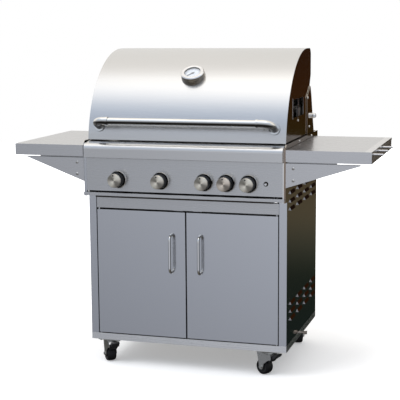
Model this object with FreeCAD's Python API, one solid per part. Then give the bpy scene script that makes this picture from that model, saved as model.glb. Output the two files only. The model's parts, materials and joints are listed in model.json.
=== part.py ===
import FreeCAD, Part
import math
import os

# Free-standing gas barbecue on a cabinet cart, in millimetres.
# Design frame: x to the right, y to the back, z up, with the cart's centre at x = y = 0
# and the floor at z = 0. Everything is shifted at export so that the origin is the
# middle of the footprint.

V = FreeCAD.Vector

# ---------------------------------------------------------------- driving dimensions
SHEET = 1.5                 # stainless sheet thickness

CART_HALF_W = 405.0
CART_HALF_D = 292.0
CART_BOTTOM = 105.0
BASE_TOP = 131.0
STILE_W = 30.0
STILE_DEPTH = 20.0
STILE_TOP = 700.0
SIDE_TOP = 752.0            # top edge of the cart sides, where the grill head sits
DOOR_BOTTOM = 135.0
DOOR_TOP = 641.5
DOOR_INNER = 3.0            # half of the gap between the two doors
DOOR_OUTER = 371.0
DOOR_DEPTH = 20.0
DOOR_PIVOT_IN = 6.0         # pivot distance from the door's outer edge and front face
RAIL_BOTTOM = 648.0
RAIL_TOP = 691.0
RAIL_HALF = 373.5
RAIL_RECESS = 3.0
TANK_HOLE_R = 104.0
TANK_X = 235.0
TANK_Y = -23.0
SCREW_Z = 117.0             # height of the tank's wing screw
SCREW_R = 4.0

HEAD_OUT = 408.0            # outer face of the head's side panels
HEAD_IN = 406.0
HEAD_FRONT = -331.0         # front plane of the control panel
HEAD_LOW = 700.0
RIM_TOP = 921.0
PANEL_BOTTOM = 723.0
PANEL_TOP = 853.0
PANEL_HALF = 396.0
NOSE_FRONT = -352.0
NOSE_BOTTOM = 856.0
NOSE_HALF = 400.0
NOSE_R = 22.0
NOSE_SLOPE = 8.0            # degrees that the top of the bullnose rises to the back

BOX_HALF = 391.5            # outer face of the firebox walls
BOX_FRONT = -270.0
BOX_BACK = 226.5
BOX_BOTTOM = 725.0
GRATE_TOP = 901.0
GRATE_BACK = 155.0

HOOD_HALF = 401.0
HOOD_BOTTOM = 922.0
HOOD_ARC_Y = 90.0
HOOD_ARC_Z = 882.0
HOOD_R = 389.0
HOOD_FLAT_END = 140.0
HOOD_BACK = 169.0
HOOD_KNEE_Z = 1160.0        # where the back of the hood turns forward to its foot
HOOD_FOOT_Y = 150.0
HOOD_FOOT_Z = 1125.0
PIVOT_Y = 119.0
PIVOT_Z = 997.0

HANDLE_Y = -347.0
HANDLE_Z = 1001.0
HANDLE_R = 12.7
HANDLE_HALF = 297.0
HANDLE_END_X = 355.0
HANDLE_BEND = 38.0
HANDLE_FOOT_Z = 975.0

GAUGE_ANGLE = 47.0          # where the gauge stands on the hood's arc, in degrees above the horizontal
GAUGE_TILT = 57.0           # elevation of the gauge's own axis
GAUGE_R = 46.5
GAUGE_DEPTH = 24.0
DIAL_R = 32.0
NEEDLE_REST = -135.0        # degrees from straight up, at the cold end of the scale

KNOB_Z = 770.0
KNOB_X = (-265.0, -88.3, 88.3, 176.7, 265.0)
REAR_VALVE = 3              # index of the valve that feeds the rear burner
KNOB_FACE = -379.0
KNOB_BACK = -341.0
KNOB_R = 29.0
KNOB_CAP_R = 27.0
BEZEL_R = 35.0
STEM_R = 4.0
STEM_TIP = -363.5           # front end of the stem, inside the knob
RUN = 0.05                  # radial clearance of a running fit
BUTTON_X = 332.0
BUTTON_Z = 771.0
BUTTON_R = 5.8

SHELF_TOP = 902.6
SHELF_BOTTOM = 858.0
SHELF_FRONT = -338.0
SHELF_BACK = 226.0
SHELF_INNER = 409.0
LEFT_SHELF_END = 701.0
RIGHT_SHELF_END = 703.0
HOOK_RAIL_W = 28.0
PEG_Y = (-310.0, -180.0, -50.0)
PEG_Z = 892.0
PEG_R = 4.0
PEG_LENGTH = 40.0
BRACKET_LOW = 760.0
BRACKET_TOP = 852.5         # leaves a shadow gap under the shelf's fascia
BRACKET_SET_BACK = 6.0

TRAY_HALF = 360.0
TRAY_BOTTOM = 697.0
TRAY_TOP = 717.0
TRAY_BACK = 222.0
LIP_HALF = 405.5
LIP_FRONT = -345.0
LIP_BACK = -331.5
LIP_BOTTOM = 705.0

CASTER_X = 332.0
CASTER_Y = 256.0
WHEEL_R = 32.0
WHEEL_HALF_W = 18.0
FORK_INNER = 20.0
FORK_OUTER = 22.5
TRAIL = 29.0
PEDAL_X = -16.0             # pedal pivot, in the caster's own frame with the trail along +x
PEDAL_Z = 74.0
PLATE_T = 3.5
# trail direction of each caster in degrees from +x: front left, front right, back left, back right
CASTER_TRAIL = (129.0, 150.0, -115.0, -70.0)

MANIFOLD_Y = -292.0
MANIFOLD_Z = 752.0
MANIFOLD_R = 10.0
INLET_X = 378.0
INLET_Y = -250.0
INLET_R = 7.94
INLET_BOTTOM = 655.0

MAIN_BURNER_X = (-265.0, -88.3, 88.3, 265.0)
BURNER_R = 18.0

BACK_BOLT_H = 2.5

# footprint: left shelf end to the tips of the tool pegs, knob faces to the bolts in the back
SHIFT = V(-(RIGHT_SHELF_END + HOOK_RAIL_W + PEG_LENGTH - LEFT_SHELF_END) / 2,
          -(CART_HALF_D + BACK_BOLT_H + KNOB_FACE) / 2, 0)


# ---------------------------------------------------------------- shape helpers
def box(x0, x1, y0, y1, z0, z1):
    return Part.makeBox(x1 - x0, y1 - y0, z1 - z0, V(x0, y0, z0))


def rod(radius, start, end):
    start = V(*start)
    along = V(*end) - start
    return Part.makeCylinder(radius, along.Length, start, along)


def fuse(shapes):
    result = shapes[0].multiFuse(shapes[1:]) if len(shapes) > 1 else shapes[0]
    return result.removeSplitter()


def cut(shape, tools):
    return shape.cut(Part.makeCompound(tools))


def prism_yz(points, x0, x1):
    """Solid with a (y, z) outline, from x0 to x1."""
    wire = Part.makePolygon([V(x0, y, z) for y, z in points] + [V(x0, *points[0])])
    return Part.Face(wire).extrude(V(x1 - x0, 0, 0))


def prism_xz(points, y0, y1):
    """Solid with an (x, z) outline, from y0 to y1."""
    wire = Part.makePolygon([V(x, y0, z) for x, z in points] + [V(points[0][0], y0, points[0][1])])
    return Part.Face(wire).extrude(V(0, y1 - y0, 0))


def arc(p0, mid, p1):
    return Part.Arc(p0, mid, p1).toShape()


def line(p0, p1):
    return Part.LineSegment(p0, p1).toShape()


def on_circle_yz(cy, cz, radius, degrees, x=0.0):
    """Point on a circle; 0 degrees is the front (-y) side and 90 the top."""
    turn = math.radians(degrees)
    return V(x, cy - radius * math.cos(turn), cz + radius * math.sin(turn))


def mirrored(shape):
    return shape.mirror(V(0, 0, 0), V(1, 0, 0))


def lathe(profile, base, axis):
    """Solid of revolution: profile is a list of (radius, distance along the axis)."""
    wire = Part.makePolygon([V(r, 0, h) for r, h in profile] + [V(profile[0][0], 0, profile[0][1])])
    solid = Part.Face(wire).revolve(V(0, 0, 0), V(0, 0, 1), 360)
    solid.Placement = FreeCAD.Placement(V(*base), FreeCAD.Rotation(V(0, 0, 1), V(*axis)))
    return solid


def bent_tube(points, radius, bend):
    """Round bar along straight runs with the corners rounded to one bend radius."""
    pts = [V(*p) for p in points]
    edges = []
    start = pts[0]
    for before, corner, after in zip(pts, pts[1:], pts[2:]):
        back = (before - corner).normalize()
        ahead = (after - corner).normalize()
        half = back.getAngle(ahead) / 2
        reach = bend / math.tan(half)
        p0 = corner + back * reach
        p1 = corner + ahead * reach
        centre = corner + (back + ahead).normalize() * (bend / math.sin(half))
        mid = centre + (corner - centre).normalize() * bend
        edges.append(line(start, p0))
        edges.append(arc(p0, mid, p1))
        start = p1
    edges.append(line(start, pts[-1]))
    path = Part.Wire(edges)
    section = Part.Wire(Part.makeCircle(radius, pts[0], pts[1] - pts[0]))
    return path.makePipeShell([section], True, False)


def hood_normal(degrees):
    turn = math.radians(degrees)
    return V(0, -math.cos(turn), math.sin(turn))


def bolt_head(centre, axis, radius=5.0, height=3.0):
    """Low domed bolt head standing on a surface."""
    profile = [(0, 0), (radius, 0), (radius, height * 0.4), (radius * 0.6, height), (0, height)]
    return lathe(profile, centre, axis)


# ---------------------------------------------------------------- cart
def cart_base_pan():
    """Bottom pan: deck with a skirt, four corner plates for the casters and the tank hole."""
    body = box(-CART_HALF_W, CART_HALF_W, -CART_HALF_D, CART_HALF_D, CART_BOTTOM, BASE_TOP)
    inner_x = CART_HALF_W - SHEET
    inner_y = CART_HALF_D - SHEET
    hollow = box(-inner_x, inner_x, -inner_y, inner_y, CART_BOTTOM + SHEET, BASE_TOP - SHEET)
    wide = box(-inner_x + 20, inner_x - 20, -170, 170, CART_BOTTOM - 1, CART_BOTTOM + SHEET)
    deep = box(-270, 270, -inner_y + 20, inner_y - 20, CART_BOTTOM - 1, CART_BOTTOM + SHEET)
    body = cut(body, [hollow, wide, deep])
    collar = rod(TANK_HOLE_R + 4, (TANK_X, TANK_Y, BASE_TOP - 16), (TANK_X, TANK_Y, BASE_TOP))
    hole = rod(TANK_HOLE_R, (TANK_X, TANK_Y, CART_BOTTOM - 1), (TANK_X, TANK_Y, BASE_TOP + 1))
    nut = rod(9, (inner_x - 10, TANK_Y, SCREW_Z), (CART_HALF_W, TANK_Y, SCREW_Z))
    screw_bore = rod(SCREW_R + RUN, (TANK_X + TANK_HOLE_R - 5, TANK_Y, SCREW_Z),
                     (CART_HALF_W + 1, TANK_Y, SCREW_Z))
    return cut(fuse([body, collar, nut]), [hole, screw_bore])


def louvre(y0, z):
    """One pressed louvre on the right side: a wedge hood, open below, with closed ends."""
    length = 80.0
    proud = 5.5
    face = CART_HALF_W
    outer = prism_xz([(face - 0.5, z + 8), (face, z + 8), (face + proud, z - 5), (face - 0.5, z - 5)],
                     y0, y0 + length)
    inner = prism_xz([(face - 3, z + 5.5), (face, z + 5.5), (face + proud - 1.2, z - 5), (face + proud - 1.2, z - 6),
                      (face - 3, z - 6)], y0 + 1.2, y0 + length - 1.2)
    return outer, inner


def cart_side():
    """Right side of the cart: side sheet, front stile and rear flange, with two louvre fields."""
    out = CART_HALF_W
    inn = CART_HALF_W - SHEET
    front = -CART_HALF_D
    parts = [
        box(inn, out, front, CART_HALF_D, BASE_TOP, SIDE_TOP),
        box(out - STILE_W, out, front, front + SHEET, BASE_TOP, STILE_TOP),
        box(out - STILE_W, out - STILE_W + SHEET, front, front + STILE_DEPTH, BASE_TOP, STILE_TOP),
        box(out - 25, out, CART_HALF_D - 2 * SHEET, CART_HALF_D - SHEET, BASE_TOP, SIDE_TOP),
    ]
    voids = []
    for first_y, pitch, rows in ((-241, 137, (728, 695, 664)), (-228, 135, (288, 256, 225))):
        for column in range(4):
            for row_z in rows:
                outer, inner = louvre(first_y + column * pitch, row_z)
                parts.append(outer)
                voids.append(inner)
    return cut(fuse(parts), voids)


def cart_rear_panel():
    """Back sheet of the cabinet, with two rows of vent slots."""
    half = CART_HALF_W - SHEET
    panel = box(-half, half, CART_HALF_D - SHEET, CART_HALF_D, BASE_TOP, SIDE_TOP)
    slots = []
    for row_z in (200, 225, 600, 625):
        for column in range(-3, 4):
            slots.append(box(column * 100 - 35, column * 100 + 35, CART_HALF_D - 5, CART_HALF_D + 5,
                             row_z, row_z + 6))
    return cut(panel, slots)


def cart_rails():
    """Front rail above the doors and the two runners that carry the grease tray."""
    stile = CART_HALF_W - STILE_W
    face = -CART_HALF_D + RAIL_RECESS
    rail = fuse([
        box(-RAIL_HALF, RAIL_HALF, face, face + SHEET, RAIL_BOTTOM, RAIL_TOP),
        box(-RAIL_HALF, RAIL_HALF, face, face + 22, RAIL_BOTTOM, RAIL_BOTTOM + SHEET),
        box(-stile, stile, face + 8, face + 16, RAIL_BOTTOM, RAIL_BOTTOM + SHEET),
    ])
    pin_x = DOOR_OUTER - DOOR_PIVOT_IN
    pin_y = -CART_HALF_D + DOOR_PIVOT_IN
    pin_holes = [rod(3, (x, pin_y, RAIL_BOTTOM - 1), (x, pin_y, RAIL_BOTTOM + 3)) for x in (-pin_x, pin_x)]
    tray_floor = TRAY_BOTTOM - 0.4
    runner = fuse([
        box(366, 367.5, face + SHEET, TRAY_BACK, RAIL_TOP - 6, 712),
        box(350, 367.5, face + SHEET, TRAY_BACK, tray_floor - SHEET, tray_floor),
        box(366, 367.5, 150, 210, 700, BOX_BOTTOM),
    ])
    return Part.makeCompound([cut(rail, pin_holes), runner, mirrored(runner)])


def hinge_hardware():
    """Door pivot pins, hood hinge pins with domed bosses, and two magnetic door catches."""
    parts = []
    door_x = DOOR_OUTER - DOOR_PIVOT_IN
    door_y = -CART_HALF_D + DOOR_PIVOT_IN
    for side in (-1, 1):
        x = side * door_x
        parts.append(rod(3, (x, door_y, BASE_TOP), (x, door_y, DOOR_BOTTOM + 8)))
        parts.append(rod(3, (x, door_y, DOOR_TOP - 8), (x, door_y, RAIL_BOTTOM + SHEET)))
        catch_x = side * 40
        parts.append(box(catch_x - 18, catch_x + 18, -266, -250, 628, RAIL_BOTTOM))
        parts.append(box(catch_x - 18, catch_x + 18, -267, -250, RAIL_BOTTOM, RAIL_BOTTOM + 2))
    pin = [(0, 0), (9, 0), (9, 2), (5, 2), (5, 8.5), (11, 8.5), (11, 29), (9.5, 34), (6, 37.5), (0, 38.5)]
    right = lathe(pin, (396.3, PIVOT_Y, PIVOT_Z), (1, 0, 0))
    parts.append(right)
    parts.append(mirrored(right))
    return Part.makeCompound(parts)


def caster_plates():
    """Four caster top plates, each with its kingpin."""
    plates = []
    under = CART_BOTTOM - PLATE_T
    for sx in (-1, 1):
        for sy in (-1, 1):
            x = sx * CASTER_X
            y = sy * CASTER_Y
            plate = box(x - 47.5, x + 47.5, y - 32.5, y + 32.5, under, CART_BOTTOM)
            king = rod(6, (x, y, 84), (x, y, under))
            head = rod(9, (x, y, 84), (x, y, 88))
            plates.append(fuse([plate, king, head]))
    return Part.makeCompound(plates)


def door(side):
    """Door pan: front sheet with folded edges, its pivot bores and a stiffener at the handle."""
    front = -CART_HALF_D
    x0, x1 = sorted((side * DOOR_INNER, side * DOOR_OUTER))
    shell = box(x0, x1, front, front + DOOR_DEPTH, DOOR_BOTTOM, DOOR_TOP)
    hollow = box(x0 + SHEET, x1 - SHEET, front + SHEET, front + DOOR_DEPTH - SHEET,
                 DOOR_BOTTOM + SHEET, DOOR_TOP - SHEET)
    window = box(x0 + 30, x1 - 30, front + SHEET, front + DOOR_DEPTH + 1, DOOR_BOTTOM + 30, DOOR_TOP - 30)
    pivot_x = side * (DOOR_OUTER - DOOR_PIVOT_IN)
    pivot_y = front + DOOR_PIVOT_IN
    bores = rod(3 + RUN, (pivot_x, pivot_y, DOOR_BOTTOM - 1), (pivot_x, pivot_y, DOOR_TOP + 1))
    handle_x = side * door_handle_x(side)
    stiffener = box(handle_x - 12, handle_x + 12, front + SHEET, front + 2 * SHEET,
                    DOOR_BOTTOM + SHEET, DOOR_TOP - SHEET)
    bosses = [rod(7, (pivot_x, pivot_y, z0), (pivot_x, pivot_y, z0 + 10))
              for z0 in (DOOR_BOTTOM + SHEET, DOOR_TOP - SHEET - 10)]
    boss_room = box(pivot_x - 5.5, pivot_x + 5.5, pivot_y - 5.5, pivot_y + 7, DOOR_BOTTOM, DOOR_TOP)
    bosses = [boss.common(boss_room) for boss in bosses]
    return cut(fuse([cut(shell, [hollow, window]), stiffener] + bosses), [bores])


def door_handle_x(side):
    return 58.0 if side < 0 else 60.0


def door_handle(side):
    """Bow handle bent from 10 mm bar, standing 35 mm off the door."""
    x = side * door_handle_x(side)
    door_face = -CART_HALF_D
    bar_y = door_face - 35 + 5
    low = 397.0 + 5
    high = 556.0 - 5
    bow = bent_tube([(x, door_face, low), (x, bar_y, low), (x, bar_y, high), (x, door_face, high)], 5, 20)
    feet = [rod(7, (x, door_face - 2.5, z), (x, door_face, z)) for z in (low, high)]
    return fuse([bow] + feet)


def grease_tray():
    """Slide-out grease tray: shallow pan with a full-width front lip."""
    pan = box(-TRAY_HALF, TRAY_HALF, LIP_BACK - 1, TRAY_BACK, TRAY_BOTTOM, TRAY_TOP)
    basin = box(-TRAY_HALF + SHEET, TRAY_HALF - SHEET, LIP_BACK + SHEET, TRAY_BACK - SHEET,
                TRAY_BOTTOM + SHEET, TRAY_TOP + 1)
    lip = box(-LIP_HALF, LIP_HALF, LIP_FRONT, LIP_BACK, LIP_BOTTOM, TRAY_TOP)
    lip_hollow = box(-LIP_HALF + SHEET, LIP_HALF - SHEET, LIP_FRONT + SHEET, LIP_BACK - SHEET,
                     LIP_BOTTOM - 1, TRAY_TOP - SHEET)
    return fuse([cut(pan, [basin]), cut(lip, [lip_hollow])])


def tank_screw():
    """Wing screw that clamps the foot ring of the gas tank."""
    z = SCREW_Z
    tip = TANK_X + TANK_HOLE_R + 1
    head = CART_HALF_W + 14
    shank = rod(SCREW_R, (tip, TANK_Y, z), (head + 8, TANK_Y, z))
    hub = rod(7, (head, TANK_Y, z), (head + 12, TANK_Y, z))
    wings = box(head + 3, head + 10, TANK_Y - 18, TANK_Y + 18, z - 3, z + 3)
    return fuse([shank, hub, wings])


# ---------------------------------------------------------------- grill head
def head_side():
    """Right side of the head: sheet, front flange, bottom flange and the hinge ear."""
    outline = [(HEAD_FRONT, HEAD_LOW), (-CART_HALF_D - 0.5, HEAD_LOW), (-CART_HALF_D - 0.5, SIDE_TOP),
               (CART_HALF_D, SIDE_TOP), (CART_HALF_D, RIM_TOP), (HEAD_FRONT + 9, RIM_TOP),
               (HEAD_FRONT, RIM_TOP - 9)]
    side = prism_yz(outline, HEAD_IN, HEAD_OUT)
    front = HEAD_FRONT
    flange_high = box(NOSE_HALF + 0.5, HEAD_OUT, front, front + SHEET, HEAD_LOW, RIM_TOP - 9)
    flange_low = box(PANEL_HALF + 0.3, HEAD_OUT, front, front + SHEET, HEAD_LOW, PANEL_TOP)
    seat = box(BOX_HALF, HEAD_OUT, -CART_HALF_D, CART_HALF_D, SIDE_TOP, SIDE_TOP + SHEET)
    rim = box(403.0, HEAD_OUT, HEAD_FRONT + 9, CART_HALF_D, RIM_TOP - SHEET, RIM_TOP)
    ear = prism_yz([(88, 897), (228, 897), (226, RIM_TOP), (221, 935), (199, 992), (170, 1077),
                    (152, 1113), (146, 1116), (112, 1091), (98, 1084), (88, 1074)], 402.3, 404.3)
    ear_foot = box(404.3, HEAD_IN, 88, 226, 897, RIM_TOP)
    pivot = rod(5, (400, PIVOT_Y, PIVOT_Z), (410, PIVOT_Y, PIVOT_Z))
    return cut(fuse([side, flange_high, flange_low, seat, rim, ear, ear_foot]), [pivot])


def firebox():
    """Four walls of the firebox, bottom lips, grate ledge and grate bar, with the burner ports."""
    half = BOX_HALF
    outer = box(-half, half, BOX_FRONT, BOX_BACK, BOX_BOTTOM, RIM_TOP)
    inner = box(-half + SHEET, half - SHEET, BOX_FRONT + SHEET, BOX_BACK - SHEET,
                BOX_BOTTOM + SHEET, RIM_TOP + 1)
    mouth = box(-half + 40, half - 40, BOX_FRONT + 30, BOX_BACK - 30, BOX_BOTTOM - 1, BOX_BOTTOM + 5)
    shell = cut(outer, [inner, mouth])
    ledge_z = GRATE_TOP - 8
    front_ledge = box(-half + SHEET, half - SHEET, BOX_FRONT + SHEET, BOX_FRONT + 13, ledge_z - SHEET, ledge_z)
    back_bar = box(-half + SHEET, half - SHEET, GRATE_BACK - 12, GRATE_BACK, ledge_z - 8, ledge_z)
    rim_front = box(-half, half, BOX_FRONT - 10, BOX_FRONT, RIM_TOP - 5, RIM_TOP - 5 + SHEET)
    ports = [rod(12.2, (x, BOX_FRONT - 1, KNOB_Z), (x, BOX_FRONT + 3, KNOB_Z)) for x in MAIN_BURNER_X]
    pipe_port = rod(3.5, (half - 3, 195, 878), (half + 1, 195, 878))
    return cut(fuse([shell, front_ledge, back_bar, rim_front]), ports + [pipe_port])


def rear_cowl():
    """Back of the head: rear wall, deck and the sloping cowl that the hood turns down behind."""
    wall_half = 404.0
    half = 397.5
    wall = box(-wall_half, wall_half, CART_HALF_D - SHEET, CART_HALF_D, SIDE_TOP + SHEET, RIM_TOP - SHEET)
    deck = box(-half, half, BOX_BACK + 0.3, CART_HALF_D, RIM_TOP - SHEET, RIM_TOP)
    face = [(229, RIM_TOP - SHEET), (222, 935), (200, 992), (171, 1077), (146, 1114)]
    back = [(147.3, 1115.3), (172.4, 1077.7), (201.4, 992.6), (223.5, 935.6), (230.7, RIM_TOP - SHEET)]
    slope = prism_yz(face + back, -half, half)
    return fuse([wall, deck, slope])


def bullnose_path(inset):
    """Edges of the bullnose section, moved inwards by inset."""
    slope = math.radians(NOSE_SLOPE)
    front = NOSE_FRONT + inset
    centre = V(0, NOSE_FRONT + NOSE_R, 890)
    radius = NOSE_R - inset
    mid_turn = 41.0
    start = V(0, front, centre.z)
    mid = on_circle_yz(centre.y, centre.z, radius, mid_turn)
    end = V(0, centre.y - radius * math.sin(slope), centre.z + radius * math.cos(slope))
    reach = (-280 - end.y)
    tail = V(0, -280, end.z + reach * math.tan(slope))
    low = V(0, front, NOSE_BOTTOM + inset)
    return low, start, mid, end, tail


def front_bullnose():
    """Rounded front ledge of the head: vertical face, round nose and top rising to the hood."""
    low, start, mid, end, tail = bullnose_path(0)
    low_i, start_i, mid_i, end_i, tail_i = bullnose_path(SHEET)
    back_low = V(0, HEAD_FRONT - 0.2, NOSE_BOTTOM)
    back_low_i = V(0, HEAD_FRONT - 0.2, NOSE_BOTTOM + SHEET)
    edges = [line(back_low, low), line(low, start), arc(start, mid, end), line(end, tail),
             line(tail, tail_i), line(tail_i, end_i), arc(end_i, mid_i, start_i), line(start_i, low_i),
             line(low_i, back_low_i), line(back_low_i, back_low)]
    face = Part.Face(Part.Wire(edges))
    face.translate(V(-NOSE_HALF, 0, 0))
    nose = face.extrude(V(2 * NOSE_HALF, 0, 0))
    ends = []
    for x in (-NOSE_HALF, NOSE_HALF - SHEET):
        fill = Part.Face(Part.Wire([line(low, start), arc(start, mid, end),
                                    line(end, V(0, HEAD_FRONT - 0.2, end.z)),
                                    line(V(0, HEAD_FRONT - 0.2, end.z), back_low), line(back_low, low)]))
        fill.translate(V(x, 0, 0))
        ends.append(fill.extrude(V(SHEET, 0, 0)))
    return fuse([nose] + ends)


def control_panel():
    """Front panel with top and bottom returns and the holes for stems and button."""
    front = HEAD_FRONT
    plate = fuse([
        box(-PANEL_HALF, PANEL_HALF, front, front + SHEET, PANEL_BOTTOM, PANEL_TOP),
        box(-PANEL_HALF, PANEL_HALF, front, front + 40, PANEL_TOP - SHEET, PANEL_TOP),
        box(-PANEL_HALF, PANEL_HALF, front, front + 20, PANEL_BOTTOM, PANEL_BOTTOM + SHEET),
    ])
    holes = [rod(7, (x, front - 1, KNOB_Z), (x, front + 3, KNOB_Z)) for x in KNOB_X]
    holes.append(rod(7, (BUTTON_X, front - 1, BUTTON_Z), (BUTTON_X, front + 3, BUTTON_Z)))
    return cut(plate, holes)


def knob_bezels():
    """Five dished rings behind the knobs and the small collar of the ignition button."""
    rings = []
    for x in KNOB_X:
        profile = [(8, 0), (BEZEL_R, 0), (BEZEL_R, 2.5), (BEZEL_R - 1.2, 5.5), (BEZEL_R - 3, 6),
                   (BEZEL_R - 4.5, 5), (25, 3), (8, 3)]
        rings.append(lathe(profile, (x, HEAD_FRONT, KNOB_Z), (0, -1, 0)))
    collar = [(BUTTON_R + 0.5, 0), (9, 0), (9, 1.5), (8, 3), (BUTTON_R + 0.5, 3)]
    rings.append(lathe(collar, (BUTTON_X, HEAD_FRONT, BUTTON_Z), (0, -1, 0)))
    return Part.makeCompound(rings)


def gas_manifold():
    """Manifold pipe with its inlet pipe down into the cabinet, and the pipe to the rear burner."""
    pipe = rod(MANIFOLD_R, (-300, MANIFOLD_Y, MANIFOLD_Z), (INLET_X - 3, MANIFOLD_Y, MANIFOLD_Z))
    low = MANIFOLD_Z - 38
    inlet = bent_tube([(INLET_X, MANIFOLD_Y, MANIFOLD_Z), (INLET_X, MANIFOLD_Y, low),
                       (INLET_X, INLET_Y, low), (INLET_X, INLET_Y, INLET_BOTTOM)], INLET_R, 14)
    hex_nut = rod(12, (INLET_X, INLET_Y, INLET_BOTTOM + 16), (INLET_X, INLET_Y, INLET_BOTTOM + 28))
    elbow = Part.makeSphere(MANIFOLD_R, V(INLET_X, MANIFOLD_Y, MANIFOLD_Z))
    manifold = fuse([pipe, elbow, inlet, hex_nut])
    x = KNOB_X[REAR_VALVE]
    gap_x = 398.5
    feed = bent_tube([(x, -288, 786), (x, -288, 806), (gap_x, -288, 806), (gap_x, 195, 806),
                      (gap_x, 195, 878), (270, 195, 878), (270, 195, 928)], 3, 8)
    return Part.makeCompound([manifold, feed])


def burner_controls():
    """Five gas valves on the manifold, and the spark module behind the ignition button."""
    solids = []
    for index, x in enumerate(KNOB_X):
        block = box(x - 13, x + 13, -305, -281, MANIFOLD_Z + 7, 786)
        saddle = rod(MANIFOLD_R, (x - 14, MANIFOLD_Y, MANIFOLD_Z), (x + 14, MANIFOLD_Y, MANIFOLD_Z))
        neck = rod(9, (x, -312, KNOB_Z), (x, -305, KNOB_Z))
        bore = rod(STEM_R + RUN, (x, -313, KNOB_Z), (x, -292, KNOB_Z))
        shapes = [block, neck]
        if index != REAR_VALVE:
            shapes.append(rod(5, (x, -281, KNOB_Z), (x, -274, KNOB_Z)))
        solids.append(cut(fuse(shapes), [bore, saddle]))
    module = lathe([(0, 0), (8.5, 0), (8.5, 44), (0, 44)], (BUTTON_X, -322, BUTTON_Z), (0, 1, 0))
    neck = lathe([(6, 0), (12, 0), (12, 7.5), (6, 7.5)], (BUTTON_X, HEAD_FRONT + SHEET, BUTTON_Z), (0, 1, 0))
    solids.append(fuse([module, neck]))
    return Part.makeCompound(solids)


def burners():
    """Four tube burners with their venturi necks, and the infrared rear burner."""
    tubes = []
    for x in MAIN_BURNER_X:
        body = rod(BURNER_R, (x, -250, KNOB_Z), (x, 205, KNOB_Z))
        neck = rod(12, (x, -272, KNOB_Z), (x, -250, KNOB_Z))
        stud = rod(4, (x, 205, KNOB_Z), (x, BOX_BACK - SHEET, KNOB_Z))
        mouth = rod(10, (x, -273, KNOB_Z), (x, -252, KNOB_Z))
        tubes.append(cut(fuse([body, neck, stud]), [mouth]))
    rear = prism_yz([(168, 928), (223, 928), (199.5, 986), (168, 986)], -290, 290)
    face = box(-270, 270, 160, 176, 936, 978)
    tubes.append(cut(rear, [face]))
    return Part.makeCompound(tubes)


def flame_tamers():
    """Four inverted V sheets over the tube burners."""
    sheets = []
    for x in MAIN_BURNER_X:
        outline = [(x - 62, 815), (x, 850), (x + 62, 815), (x + 62, 813.2), (x, 848.2), (x - 62, 813.2)]
        sheets.append(prism_xz(outline, BOX_FRONT + SHEET, BOX_BACK - SHEET))
    return Part.makeCompound(sheets)


def cooking_grates():
    """Four grates of 8 mm rod, side by side."""
    width = 190.0
    radius = 4.0
    z = GRATE_TOP - radius
    front = BOX_FRONT + 6
    grates = []
    for place in range(4):
        middle = (place - 1.5) * (width + 4)
        bars = []
        for step in range(11):
            x = middle - width / 2 + radius + step * (width - 2 * radius) / 10
            bars.append(rod(radius, (x, front, z), (x, GRATE_BACK - 2, z)))
        for y in (front + 4, (front + GRATE_BACK) / 2, GRATE_BACK - 6):
            bars.append(rod(radius - 0.5, (middle - width / 2 + 2, y, z), (middle + width / 2 - 2, y, z)))
        grates.append(bars[0].multiFuse(bars[1:]))
    return Part.makeCompound(grates)


def warming_rack():
    """Rod shelf over the grates, on two sheet brackets fixed to the firebox walls."""
    z = 1040.0
    half = 383.0
    front = -70.0
    back = 85.0
    bars = [rod(3, (-half, y, z), (half, y, z)) for y in (front, back)]
    for step in range(25):
        x = -half + 8 + step * (2 * half - 16) / 24
        bars.append(rod(2.5, (x, front, z), (x, back, z)))
    rack = bars[0].multiFuse(bars[1:])
    bracket = prism_yz([(-20, 903), (40, 903), (60, z - 4), (90, z - 4), (90, z - 2.5), (-75, z - 2.5),
                        (-75, z - 4), (-30, z - 4)], half, BOX_HALF - SHEET)
    return Part.makeCompound([rack, bracket, mirrored(bracket)])


# ---------------------------------------------------------------- hood
def hood_section(inset, x):
    """Outline points and edges of the hood skin, moved inwards by inset."""
    radius = HOOD_R - inset
    bottom = HOOD_BOTTOM + inset
    corner = HOOD_BACK - HOOD_FLAT_END
    low_turn = math.degrees(math.asin((bottom - HOOD_ARC_Z) / radius))
    start = on_circle_yz(HOOD_ARC_Y, HOOD_ARC_Z, radius, low_turn, x)
    mid = on_circle_yz(HOOD_ARC_Y, HOOD_ARC_Z, radius, 50, x)
    top = V(x, HOOD_ARC_Y, HOOD_ARC_Z + radius)
    flat_end = V(x, HOOD_FLAT_END, HOOD_ARC_Z + radius)
    corner_z = HOOD_ARC_Z + HOOD_R - corner
    corner_mid = on_circle_yz(HOOD_FLAT_END, corner_z, corner - inset, 135, x)
    corner_end = V(x, HOOD_BACK - inset, corner_z)
    lean = math.atan2(HOOD_BACK - HOOD_FOOT_Y, HOOD_KNEE_Z - HOOD_FOOT_Z)
    knee = V(x, HOOD_BACK - inset, HOOD_KNEE_Z + inset * math.tan(lean / 2))
    foot = V(x, HOOD_FOOT_Y - inset * math.cos(lean), HOOD_FOOT_Z + inset * math.sin(lean))
    return start, mid, top, flat_end, corner_mid, corner_end, knee, foot


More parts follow.
